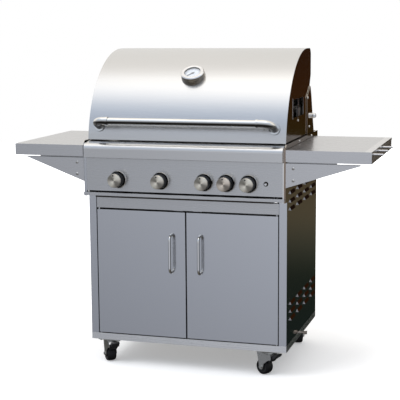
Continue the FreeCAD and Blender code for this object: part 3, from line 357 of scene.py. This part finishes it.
# a dark stand to the right and behind, which the object's right side mirrors
DARK_STUDIO = ((-90, (0.03, 0.03, 0.03)), (-20, (0.006, 0.010, 0.010)), (-16, (0.010, 0.016, 0.015)),
               (-12.5, (0.014, 0.020, 0.015)), (-11, (0.050, 0.052, 0.038)), (-9.5, (0.098, 0.082, 0.052)),
               (-7.5, (0.075, 0.058, 0.034)), (-5.5, (0.026, 0.016, 0.002)), (-3.5, (0.040, 0.014, 0.004)),
               (2, (0.012, 0.006, 0.004)), (16, (0.010, 0.006, 0.005)), (34, (0.42, 0.36, 0.33)),
               (55, (1.0, 0.97, 0.92)), (90, (1.36, 1.30, 1.22)))
DARK_AZIMUTH = 24.0         # degrees to the right of straight behind
DARK_HALF_WIDTH = 19.0
DARK_FADE = 4.0
# the front studio brightens from left to right near the horizon
ACROSS_X = (-0.44, -0.14)
ACROSS_GAIN = (0.82, 1.28)
HORIZON_Z = 0.30


def add_world():
    """Studio that the metal mirrors, by elevation and azimuth; straight from the camera it is white."""
    world = bpy.data.worlds.new("studio")
    scene.world = world
    world.use_nodes = True
    tree = world.node_tree
    tree.nodes.clear()

    def node(kind, **settings):
        made = tree.nodes.new(kind)
        for key, value in settings.items():
            setattr(made, key, value)
        return made

    def ramp(stops, source):
        made = node("ShaderNodeValToRGB")
        elements = made.color_ramp.elements
        while len(elements) < len(stops):
            elements.new(0.5)
        for element, (elevation, colour) in zip(elements, stops):
            element.position = degrees_up(elevation)
            element.color = (*colour, 1.0)
        tree.links.new(source, made.inputs["Fac"])
        return made.outputs["Color"]

    def maths(operation, first, second=None):
        made = node("ShaderNodeMath", operation=operation)
        for socket, value in zip(made.inputs, (first, second)):
            if value is None:
                continue
            if isinstance(value, (int, float)):
                socket.default_value = value
            else:
                tree.links.new(value, socket)
        return made.outputs[0]

    def smooth(value, low, high):
        made = node("ShaderNodeMapRange", interpolation_type="SMOOTHSTEP")
        made.inputs["From Min"].default_value = low
        made.inputs["From Max"].default_value = high
        tree.links.new(value, made.inputs["Value"])
        return made.outputs["Result"]

    def mix(factor, first, second):
        made = node("ShaderNodeMix", data_type="RGBA")
        tree.links.new(factor, made.inputs["Factor"])
        tree.links.new(first, made.inputs["A"])
        tree.links.new(second, made.inputs["B"])
        return made.outputs["Result"]

    coords = node("ShaderNodeTexCoord")
    split = node("ShaderNodeSeparateXYZ")
    tree.links.new(coords.outputs["Generated"], split.inputs["Vector"])
    x, y, z = split.outputs
    up = maths("DIVIDE", maths("ARCSINE", z), math.pi)
    up = maths("ADD", up, 0.5)
    azimuth = maths("MULTIPLY", maths("ARCTAN2", x, y), 180.0 / math.pi)
    off = maths("ABSOLUTE", maths("SUBTRACT", azimuth, DARK_AZIMUTH))
    low = smooth(z, HORIZON_Z, 0.0)
    across = node("ShaderNodeMapRange")
    for socket, value in zip(("From Min", "From Max", "To Min", "To Max"), ACROSS_X + ACROSS_GAIN):
        across.inputs[socket].default_value = value
    tree.links.new(x, across.inputs["Value"])
    gain = maths("SUBTRACT", across.outputs["Result"], 1.0)
    gradient = maths("ADD", maths("MULTIPLY", gain, low), 1.0)
    front = node("ShaderNodeVectorMath", operation="SCALE")
    tree.links.new(ramp(FRONT_STUDIO, up), front.inputs[0])
    tree.links.new(gradient, front.inputs["Scale"])
    colour = mix(smooth(y, -0.25, 0.25), front.outputs["Vector"], ramp(BACK_STUDIO, up))
    colour = mix(smooth(off, DARK_HALF_WIDTH + DARK_FADE, DARK_HALF_WIDTH - DARK_FADE), colour,
                 ramp(DARK_STUDIO, up))
    studio = node("ShaderNodeBackground")
    tree.links.new(colour, studio.inputs["Color"])
    white = node("ShaderNodeBackground")
    white.inputs["Color"].default_value = (1.0, 1.0, 1.0, 1.0)
    rays = node("ShaderNodeLightPath")
    choose = node("ShaderNodeMixShader")
    tree.links.new(rays.outputs["Is Camera Ray"], choose.inputs["Fac"])
    tree.links.new(studio.outputs[0], choose.inputs[1])
    tree.links.new(white.outputs[0], choose.inputs[2])
    out = node("ShaderNodeOutputWorld")
    tree.links.new(choose.outputs[0], out.inputs["Surface"])


FLOOR_RADIUS = 9.0
FLOOR_FADE = (0.6, 2.6)     # metres from the centre between which the floor turns white


def add_floor():
    """Pale floor that fades to white away from the object."""
    bm = bmesh.new()
    bmesh.ops.create_circle(bm, cap_ends=True, segments=96, radius=FLOOR_RADIUS)
    floor = new_object("studio_floor", bm)
    s = Shader("pale_floor")
    s.set(roughness=0.9)
    s.bsdf.inputs["Base Color"].default_value = (0.9, 0.9, 0.9, 1.0)
    s.bsdf.inputs["Specular IOR Level"].default_value = 0.0
    s.bsdf.inputs["Emission Color"].default_value = (1.0, 1.0, 1.0, 1.0)
    place = s.node("ShaderNodeTexCoord")
    length = s.node("ShaderNodeVectorMath", operation="LENGTH")
    s.link(place.outputs["Object"], length.inputs[0])
    fade = s.remap(length.outputs["Value"], 0.30, 1.0, FLOOR_FADE)
    s.link(fade, s.bsdf.inputs["Emission Strength"])
    floor.data.materials.append(s.material)
    floor.visible_glossy = False
    floor.visible_diffuse = False


def add_light(name, place, target, power, size):
    """Square area light that the metal doesn't mirror."""
    data = bpy.data.lights.new(name, "AREA")
    data.energy = power
    data.size = size
    light = bpy.data.objects.new(name, data)
    scene.collection.objects.link(light)
    light.location = place
    light.rotation_euler = (Vector(target) - Vector(place)).to_track_quat("-Z", "Y").to_euler()
    light.visible_glossy = False


# ---------------------------------------------------------------- mesh helpers
def new_object(name, bm, smooth_angle=35.0):
    """Object from a bmesh, smooth except at edges sharper than the angle."""
    mesh = bpy.data.meshes.new(name)
    bmesh.ops.recalc_face_normals(bm, faces=bm.faces)
    bm.to_mesh(mesh)
    bm.free()
    made = bpy.data.objects.new(name, mesh)
    scene.collection.objects.link(made)
    for polygon in mesh.polygons:
        polygon.use_smooth = True
    mesh.set_sharp_from_angle(angle=math.radians(smooth_angle))
    return made


def piece(name, bm, body, material, smooth_angle=35.0):
    """A finished piece that rides on a body, with one material."""
    made = new_object(name, bm, smooth_angle)
    made.data.materials.append(material)
    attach(made, body)
    return made


def basis(origin, axis, spin=0.0):
    """Matrix whose local +Z is axis and whose origin is origin."""
    turn = Vector(axis).normalized().to_track_quat("Z", "Y") @ Quaternion((0, 0, 1), spin)
    return Matrix.Translation(origin) @ turn.to_matrix().to_4x4()


def lathe(bm, profile, place, segments=48, knurl=None):
    """Turn a (radius, height) outline in millimetres about place's Z; knurl scales the radius."""
    rings = []
    for index, (radius, height) in enumerate(profile):
        if radius <= 1e-6:
            rings.append([bm.verts.new(place @ Vector((0, 0, height * MM)))])
            continue
        ring = []
        for step in range(segments):
            turn = 2 * math.pi * step / segments
            r = radius * (knurl(index, turn) if knurl else 1.0) * MM
            ring.append(bm.verts.new(place @ Vector((r * math.cos(turn), r * math.sin(turn), height * MM))))
        rings.append(ring)
    for low, high in zip(rings, rings[1:]):
        for step in range(segments):
            after = (step + 1) % segments
            if len(low) == 1 and len(high) == 1:
                continue
            if len(low) == 1:
                bm.faces.new((low[0], high[step], high[after]))
            elif len(high) == 1:
                bm.faces.new((low[step], low[after], high[0]))
            else:
                bm.faces.new((low[step], low[after], high[after], high[step]))


# ---------------------------------------------------------------- carried CAD nodes
def carry(material, *names):
    """Give CAD nodes a material."""
    for name in names:
        mesh = nodes[name].data
        mesh.materials.clear()
        mesh.materials.append(material)


def second_material(item, material, chosen):
    """Give the faces whose centre and normal pass the test a second material."""
    item.data.materials.append(material)
    for polygon in item.data.polygons:
        if chosen(item.matrix_world @ polygon.center, polygon.normal):
            polygon.material_index = 1


def front_faces(item, material):
    """Give the faces that look forward a second material."""
    second_material(item, material, lambda centre, normal: normal.y < -0.8)


def corner_painted_sheen(name, low_x, high_x):
    """Folded corner strip with a painted highlight along its left half and a painted reflection of brown
    ground along its right.
    """
    s = Shader(name)
    s.set(metallic=1.0)
    place = s.node("ShaderNodeNewGeometry")
    across = s.remap(s.split(place.outputs["Position"])["X"], 0.0, 1.0, (low_x, high_x))
    # painted highlight on the left half, painted brown reflection on the right half
    s.link(s.ramp(across, (1.0, 0.98, 0.94), (0.34, 0.26, 0.20), (0.35, 0.6)), s.bsdf.inputs["Base Color"])
    marks = s.noise((40, 40, 12), detail=3.0)
    s.link(s.remap(marks, 0.12, 0.3), s.bsdf.inputs["Roughness"])
    return s.material


# in millimetres: the width of the corner strip with its painted highlight and reflection, and where a node's
# second material of painted shade begins or ends
CORNER_WIDTH = 13
SHELF_TOP_Z = 902.0
TRAY_LIP_Y = (-333.5, -330)
TRAY_LIP_TOP_Z = 705.5
RAIL_BACK_Y = -287.0


def dress_frame():
    """Give every CAD node that is kept its material."""
    front = steel("steel_front", (0.68, 0.68, 0.685), "x", rough=0.27)
    door = steel("steel_door", (0.67, 0.68, 0.70), "z", rough=0.15, wave=0.05, streak=0.012, spread=0.015)
    hood = steel("steel_hood", (0.70, 0.70, 0.70), "x", rough=0.24, wave=0.1)
    # steel colour with a painted brown reflection of the dark stand, making the sides darker and browner
    # than the front
    side = steel("steel_side_painted_reflection", (0.56, 0.52, 0.47), "y", rough=0.11, wave=0.06, spread=0.02, edge=0.0)
    shelf = steel("steel_shelf", (0.72, 0.715, 0.72), "x", rough=0.28)
    # painted shade: the shelf tops get a darker copy of the shelf steel
    shelf_top_painted_shade = steel("steel_shelf_top_painted_shade", (0.60, 0.60, 0.61), "x", rough=0.28)
    inner = used_steel("steel_inner")
    rods = used_steel("rod_steel", (0.42, 0.41, 0.40))
    shiny = polished("polished_steel")
    carry(front, "control_panel", "cart_rails", "grease_tray")
    carry(steel("steel_base", (0.96, 0.96, 0.96), "x", rough=0.27), "cart_base_pan")
    carry(steel("steel_ledge", (0.74, 0.735, 0.73), "x", rough=0.24), "front_bullnose")
    carry(door, "left_door", "right_door")
    carry(hood, "hood_skin")
    carry(side, "hood_left_cap", "hood_right_cap", "cart_left_side", "cart_right_side", "head_left_side",
          "head_right_side")
    carry(front, "rear_cowl", "cart_rear_panel")
    carry(shelf, "left_shelf", "right_shelf", "tool_hook_rail", "shelf_brackets")
    carry(inner, "firebox", "burners", "flame_tamers")
    # painted shade: the manifold is near black so the gap under the tray lip reads dark
    carry(used_steel("gas_pipe_painted_shade", (0.10, 0.10, 0.10)), "gas_manifold")
    carry(rods, "cooking_grates", "warming_rack", "tank_screw")
    carry(shiny, "hinge_hardware", "ignition_button", "hood_bolts")
    # painted shade: the door handles are darkened where they face left or right
    carry(polished("door_handle_steel", (0.96, 0.95, 0.93), rough=0.12, painted_sides_dark=0.10), "left_door_handle",
          "right_door_handle")
    # painted reflection: the hood handle is darkened where it faces down
    carry(polished("handle_steel", (0.90, 0.89, 0.86), rough=0.12, painted_underside_dark=0.10), "hood_handle_tube",
          "hood_handle_ends")
    carry(brass("valve_brass"), "burner_controls", *["valve_stem_%d" % n for n in range(1, 6)])
    carry(zinc("zinc_plate"), "caster_plates", *["caster_fork_%d" % n for n in range(1, 5)])
    carry(rubber("black_nylon", rough=0.42), "brake_pedal_1", "brake_pedal_2", "gauge_needle")
    for name in ("cart_left_side", "cart_right_side", "head_left_side"):
        front_faces(nodes[name], door)
    for name in ("hood_left_cap", "hood_right_cap"):
        front_faces(nodes[name], front)
    right_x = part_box("head_right_side")[1].x
    # the front faces of the head's right side get the corner strip's painted highlight and reflection
    front_faces(nodes["head_right_side"],
                corner_painted_sheen("steel_corner_painted_sheen", right_x - CORNER_WIDTH * MM, right_x))
    nodes["hinge_hardware"].visible_glossy = False
    # the shelf tops get the darker steel of painted shade
    for name in ("left_shelf", "right_shelf"):
        second_material(nodes[name], shelf_top_painted_shade, lambda centre, normal: centre.z > at(0, 0, SHELF_TOP_Z).z)
    # painted shade: the strip under the tray lip and the rails' faces behind the front get near-black steel
    painted_shade_steel = used_steel("steel_painted_shade", (0.05, 0.047, 0.043))
    lip_front, lip_back = (at(0, y, 0).y for y in TRAY_LIP_Y)
    second_material(nodes["grease_tray"], painted_shade_steel, lambda centre, normal:
                    lip_front < centre.y < lip_back and centre.z < TRAY_LIP_TOP_Z * MM)
    second_material(nodes["cart_rails"], painted_shade_steel,
                    lambda centre, normal: centre.y > at(0, RAIL_BACK_Y, 0).y)


# ---------------------------------------------------------------- detailed pieces
def node_centre(name):
    """Centre of a CAD node's box."""
    low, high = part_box(name)
    return (low + high) / 2


def joint_place(name):
    """Centre and axis of a joint in the record."""
    joint = next(j for j in frame["record"]["behaviour"]["joints"] if j["name"] == name)
    return Vector(joint["pos_m"]), Vector(joint["axis"])


def black_plastic(name):
    """Smooth black moulded plastic."""
    return rubber(name, (0.004, 0.004, 0.0045), rough=0.34, shine=0.22)


FRONT = (0.0, -1.0, 0.0)
BACK = (0, 1, 0)
DOWN = (0, 0, -1)
# outlines turned about an axis: (radius, height) in millimetres
KNOB_CAP = ((0, 37.3), (9.2, 37.3), (9.8, 37.8), (24.6, 38.0), (26.0, 37.5), (26.8, 36.4), (27.0, 35.0),
            (27.0, 30.4), (26.5, 29.4), (25.0, 29.0), (0, 29.0))
KNOB_SKIRT = ((0, 0.0), (27.8, 0.0), (28.8, 0.6), (29.0, 1.6), (29.0, 4.2), (28.4, 6.0), (27.2, 14.0),
              (26.2, 24.0), (25.9, 27.4), (25.4, 28.6), (24.6, 29.0), (0, 29.0))
KNOB_DOT = ((0, 38.0), (2.8, 38.0), (3.0, 37.8), (3.0, 37.2), (0, 37.2))
KNOB_DOT_PLACE = Vector((-3.2, 0, 20.0)) * MM
KNOB_TINT = (0.70, 0.65, 0.56)
KNOB_4_TINT = (0.69, 0.61, 0.52)
RIBBED = range(5, 10)               # points of the skirt's outline that carry the flutes
RIBS = 30
RIB_DEPTH = 0.022


def knob_ribs(index, turn):
    """Shallow grip flutes round the tapered part of the skirt."""
    if index not in RIBBED:
        return 1.0
    return 1.0 - RIB_DEPTH * (0.5 + 0.5 * math.cos(turn * RIBS)) ** 2


def add_knobs():
    """Turned metal caps, fluted black skirts and index dots, riding on the knobs."""
    skirt = black_plastic("knob_skirt")
    mark = rubber("knob_mark", (0.004, 0.004, 0.004), rough=0.6, shine=0.1)
    for number in range(1, 6):
        name = "knob_%d" % number
        low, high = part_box(name)
        back = Vector(((low.x + high.x) / 2, high.y, (low.z + high.z) / 2))
        place = basis(back, FRONT)
        cap = bmesh.new()
        lathe(cap, KNOB_CAP, place, 96)
        grip = bmesh.new()
        lathe(grip, KNOB_SKIRT, place, 240, knob_ribs)
        dot = bmesh.new()
        lathe(dot, KNOB_DOT, basis(back + KNOB_DOT_PLACE, FRONT), 24)
        tint = KNOB_4_TINT if number == 4 else KNOB_TINT
        made = (piece(name + "_cap", cap, name, spun_with_painted_fans(name + "_face", back, tint), 30.0),
                piece(name + "_skirt", grip, name, skirt, 30.0),
                piece(name + "_dot", dot, name, mark, 30.0))
        for part in made:
            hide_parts(name)


BEZEL_RIM = ((31.2, 0), (35.0, 0), (35.0, 2.6), (34.6, 4.4), (33.8, 5.6), (33.0, 6.0), (32.2, 5.8),
             (31.4, 4.8), (31.2, 3.8), (31.2, 0))
BEZEL_DISH = ((8.2, 0.4), (31.2, 0.4), (31.2, 4.2), (29.6, 3.4), (26.0, 2.6), (8.2, 2.4), (8.2, 0.4))
BUTTON_COLLAR = ((6.4, 0.2), (9.0, 0.2), (9.0, 1.6), (8.4, 2.6), (7.6, 3.0), (6.4, 2.6), (6.4, 0.2))


def add_bezels():
    """Bright rims with black dished plates behind the knobs, and the collar of the button."""
    rims = bmesh.new()
    dishes = bmesh.new()
    panel_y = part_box("knob_bezels")[1].y
    for number in range(1, 6):
        centre = node_centre("knob_%d" % number)
        place = basis(Vector((centre.x, panel_y, centre.z)), FRONT)
        lathe(rims, BEZEL_RIM, place, 96)
        lathe(dishes, BEZEL_DISH, place, 96)
    button = node_centre("ignition_button")
    lathe(dishes, BUTTON_COLLAR, basis(Vector((button.x, panel_y, button.z)), FRONT), 48)
    chrome = polished("bezel_chrome", (0.66, 0.63, 0.59), rough=0.16)
    made = (piece("bezel_rims", rims, "root", chrome),
            piece("bezel_dishes", dishes, "root", black_plastic("bezel_black")))
    for part in made:
        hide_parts("knob_bezels")


GAUGE_R = 46.5
GAUGE_RIM = 24.0
GAUGE_STEPS = 128
GAUGE_LIFT = 0.15                   # of the drum's foot above the hood's curve
GAUGE_OUTLINE = ((GAUGE_R, 19.6), (GAUGE_R - 0.5, 20.6), (43.4, 23.4), (42.6, 23.9), (41.6, GAUGE_RIM),
                 (33.6, GAUGE_RIM), (32.6, 23.7), (32.0, 22.6), (31.9, 15.0), (2.4, 15.0))
GAUGE_SIDE_TOP = 20.0
DIAL = ((2.4, 15.05), (31.8, 15.05), (31.8, 15.4), (2.4, 15.4), (2.4, 15.05))
GLASS = ((0, 20.2), (31.7, 20.2), (31.7, 21.4), (24.0, 21.9), (12.0, 22.0), (0, 22.0))
PROBE = ((0, -72), (2.4, -71), (3.0, -68), (3.0, 2), (0, 2))
PROBE_NUT = ((0, -7.6), (9.0, -7.6), (10.0, -7.0), (10.0, -3.6), (0, -3.6))
TICKS = 28
FIRST_TICK = -135                   # degrees
TICK_STEP = 10
LONG_TICK = (0.45, 24.0)            # half width and inner radius in millimetres
SHORT_TICK = (0.25, 26.2)
TICK_OUTER = 29.4
TICK_HEIGHTS = (15.3, 15.55)
HOOD_ARC = (90.0, 882.0, 389.0)     # centre y, centre z and radius of the hood's front curve


def gauge_place():
    """Frame on the gauge's axis, facing out of the hood, from the needle's joint."""
    centre, axis = joint_place("gauge_needle_turn")
    return basis(centre, -axis)


def on_hood(place, radius, turn):
    """Height along the gauge's axis at which its side meets the hood's curve, in millimetres."""
    centre = at(0, HOOD_ARC[0], HOOD_ARC[1])
    start = place @ Vector((radius * math.cos(turn) * MM, radius * math.sin(turn) * MM, 0)) - centre
    along = place.to_3x3() @ Vector((0, 0, 1))
    start.x = 0.0
    half = start.dot(along)
    return (-half + math.sqrt(half * half - start.length_squared + (HOOD_ARC[2] * MM) ** 2)) / MM


def add_gauge():
    """Round thermometer whose drum is cut to the hood's curve, with dial, print, glass and probe."""
    place = gauge_place()
    drum = bmesh.new()

    def ring(radius, height_at):
        made = []
        for step in range(GAUGE_STEPS):
            turn = 2 * math.pi * step / GAUGE_STEPS
            spot = Vector((radius * math.cos(turn), radius * math.sin(turn), height_at(turn)))
            made.append(drum.verts.new(place @ (spot * MM)))
        return made

    rings = [ring(GAUGE_R, lambda turn: on_hood(place, GAUGE_R, turn) + GAUGE_LIFT)]
    for radius, height in GAUGE_OUTLINE:
        rings.append(ring(radius, lambda turn: height))
    for low, high in zip(rings, rings[1:]):
        for step in range(GAUGE_STEPS):
            after = (step + 1) % GAUGE_STEPS
            drum.faces.new((low[step], low[after], high[after], high[step]))
    dial = bmesh.new()
    lathe(dial, DIAL, place, 96)
    marks = bmesh.new()
    for step in range(TICKS):
        tick = place @ Matrix.Rotation(math.radians(FIRST_TICK + step * TICK_STEP), 4, "Z")
        half, inner = LONG_TICK if step % 3 == 0 else SHORT_TICK
        add_block(marks, tick, (-half, inner, TICK_HEIGHTS[0]), (half, TICK_OUTER, TICK_HEIGHTS[1]))
    glass = bmesh.new()
    lathe(glass, GLASS, place, 96)
    probe = bmesh.new()
    lathe(probe, PROBE, place, 24)
    lathe(probe, PROBE_NUT, place, 6)
    rim_steel = polished("gauge_rim_steel", (0.92, 0.92, 0.93), rough=0.2)
    drum_piece = piece("gauge_drum", drum, "hood", rim_steel)
    # painted reflection: the drum's side below the rim gets dark brown steel
    second_material(drum_piece, steel("gauge_side_painted_reflection", (0.26, 0.235, 0.20), "x", rough=0.2),
                    lambda centre, normal: (place.inverted() @ centre).z < GAUGE_SIDE_TOP * MM)
    white = painted("gauge_dial_white", (0.80, 0.84, 0.90))
    made = (drum_piece,
            piece("gauge_dial", dial, "hood", white),
            piece("gauge_marks", marks, "hood", painted("gauge_print", (0.03, 0.03, 0.03))),
            piece("gauge_glass", glass, "hood", clear_glass("gauge_glass")),
            piece("gauge_probe", probe, "hood", polished("gauge_probe_steel")))
    for part in made:
        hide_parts("hood_gauge")


def painted(name, colour):
    """Matt enamel or print."""
    s = Shader(name)
    fine = s.noise((400, 400, 400), detail=3.0)
    s.link(s.ramp(fine, tuple(c * 0.95 for c in colour), colour), s.bsdf.inputs["Base Color"])
    s.link(s.remap(fine, 0.4, 0.55), s.bsdf.inputs["Roughness"])
    return s.material


def clear_glass(name):
    """Thin clear glass, slightly smeared."""
    s = Shader(name)
    s.set(roughness=0.02, alpha=0.1)
    smear = s.noise((90, 90, 90), detail=3.0)
    s.link(s.ramp(smear, (0.95, 0.97, 0.96), (1.0, 1.0, 1.0)), s.bsdf.inputs["Base Color"])
    return s.material


def add_block(bm, place, low, high):
    """Box between two corners in millimetres, in place's frame."""
    corners = [bm.verts.new(place @ (Vector((x, y, z)) * MM))
               for z in (low[2], high[2]) for y in (low[1], high[1]) for x in (low[0], high[0])]
    for face in ((0, 1, 3, 2), (4, 6, 7, 5), (0, 4, 5, 1), (2, 3, 7, 6), (0, 2, 6, 4), (1, 5, 7, 3)):
        bm.faces.new([corners[i] for i in face])


WHEEL_HALF = 18.0


def mirrored(half_outline):
    """Outline of a wheel, the same on both sides, from (radius, depth in from the side) points."""
    near = [(radius, -WHEEL_HALF + depth) for radius, depth in half_outline]
    far = [(radius, WHEEL_HALF - depth) for radius, depth in reversed(half_outline)]
    return near + far + near[:1]


TYRE = mirrored(((22.5, 2.2), (24.0, 0.6), (25.5, 0), (27.5, 0.2), (29.6, 2.0), (31.0, 5.0), (31.8, 8.5),
                 (32.0, 12.0)))
HUB = mirrored(((4.05, 0), (11.0, 0), (12.6, 0.8), (13.4, 4.0), (20.0, 4.6), (21.4, 2.4), (22.5, 2.2)))


def add_wheels():
    """Solid rubber tyres on moulded hubs."""
    tyre_rubber = rubber("tyre_rubber", (0.006, 0.006, 0.0065), rough=0.5, shine=0.2)
    hub_nylon = rubber("hub_nylon", (0.022, 0.022, 0.022), rough=0.4, shine=0.3)
    for number in range(1, 5):
        name = "caster_wheel_%d" % number
        centre, axis = joint_place("caster_%d_roll" % number)
        place = basis(centre, axis)
        outer = bmesh.new()
        lathe(outer, TYRE, place, 96)
        inner = bmesh.new()
        lathe(inner, HUB, place, 64)
        for part in (piece(name + "_tyre", outer, name, tyre_rubber),
                     piece(name + "_hub", inner, name, hub_nylon)):
            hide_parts(name)


# fastener outlines: radius as a share of the head's radius, height as a share of its height
SCREW_HEAD = ((1, 0), (1, 0.35), (0.93, 0.58), (0.76, 0.82), (0.5, 0.95), (0, 0.96))
BOLT_FLANGE = ((1, 0), (1, 0.22), (0.96, 0.28), (0, 0.28))
BOLT_HEXAGON = ((0.8, 0.25), (0.8, 0.92), (0.7, 1), (0, 1))
CROSS_HALF_WIDTH = 0.55
# head radius and height in millimetres
SIDE_SCREW = (4.5, 3.0)
BRACKET_SCREW = (6.0, 4.0)
REAR_SCREW = (4.5, 2.5)
CASTER_BOLT = (6.0, 4.5)
# outer faces that screws sit on, and the places of the screws on them
HEAD_SIDE_X = 408
HEAD_SIDE_YZ = ((-78, 912), (162, 911))
HINGE_EAR_X = 404.3
HINGE_EAR_YZ = ((97, 1071), (131, 951))
BRACKET_X = 437
BRACKET_FRONT_Y = -332.0
BRACKET_BACK_Y = 220.0
BRACKET_Z = (834, 788)
REAR_PANEL_X = 390
REAR_PANEL_Y = 292
REAR_PANEL_Z = (160, 660)
CASTER_XY = (332, 256)
CASTER_BOLT_STEP = (38, 24)
CASTER_PLATE_Z = 101.5


def scaled_outline(outline, radius, height):
    """Outline in millimetres from one in shares."""
    return [(share * radius, level * height) for share, level in outline]


def screw(heads, marks, centre, axis, size):
    """Domed screw head with a cross-shaped drive, drawn as raised blocks that carry the black of painted
    shade.
    """
    radius, height = size
    place = basis(centre, axis)
    lathe(heads, scaled_outline(SCREW_HEAD, radius, height), place, 32)
    arm = radius * 0.52
    add_block(marks, place, (-arm, -CROSS_HALF_WIDTH, height * 0.7), (arm, CROSS_HALF_WIDTH, height * 0.985))
    add_block(marks, place, (-CROSS_HALF_WIDTH, -arm, height * 0.7), (CROSS_HALF_WIDTH, arm, height * 0.99))


def hex_bolt(heads, centre, axis, size):
    """Six-sided bolt head on a thin flange."""
    place = basis(centre, axis)
    lathe(heads, scaled_outline(BOLT_FLANGE, *size), place, 32)
    lathe(heads, scaled_outline(BOLT_HEXAGON, *size), place, 6)


def add_fasteners():
    """Screws and bolts that show, all on fixed parts."""
    heads = bmesh.new()
    marks = bmesh.new()
    for side in (-1, 1):
        out = (side, 0, 0)
        for y, z in HEAD_SIDE_YZ:
            screw(heads, marks, at(side * HEAD_SIDE_X, y, z), out, SIDE_SCREW)
        for y, z in HINGE_EAR_YZ:
            screw(heads, marks, at(side * HINGE_EAR_X, y, z), out, SIDE_SCREW)
        for z in BRACKET_Z:
            screw(heads, marks, at(side * BRACKET_X, BRACKET_FRONT_Y, z), FRONT, BRACKET_SCREW)
            screw(heads, marks, at(side * BRACKET_X, BRACKET_BACK_Y, z), BACK, BRACKET_SCREW)
        for z in REAR_PANEL_Z:
            screw(heads, marks, at(side * REAR_PANEL_X, REAR_PANEL_Y, z), BACK, REAR_SCREW)
        for end in (-1, 1):
            for dx in (-CASTER_BOLT_STEP[0], CASTER_BOLT_STEP[0]):
                for dy in (-CASTER_BOLT_STEP[1], CASTER_BOLT_STEP[1]):
                    spot = at(side * CASTER_XY[0] + dx, end * CASTER_XY[1] + dy, CASTER_PLATE_Z)
                    hex_bolt(heads, spot, DOWN, CASTER_BOLT)
    # painted shade: the cross drives are black
    made = (piece("screw_heads", heads, "root", polished("screw_steel", (0.78, 0.76, 0.73), rough=0.16)),
            piece("screw_drives_painted_shade", marks, "root", rubber("screw_drive_painted_shade", (0.02, 0.018, 0.016))))
    for part in made:
        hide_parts("fasteners")


# ---------------------------------------------------------------- scene
scene.view_settings.view_transform = "Standard"
add_camera()
add_world()
add_floor()
add_light("soft_key", at(-1800, -2600, 3200), at(0, 0, 700), 60.0, 2.0)
dress_frame()
add_knobs()
add_bezels()
add_gauge()
add_wheels()
add_fasteners()
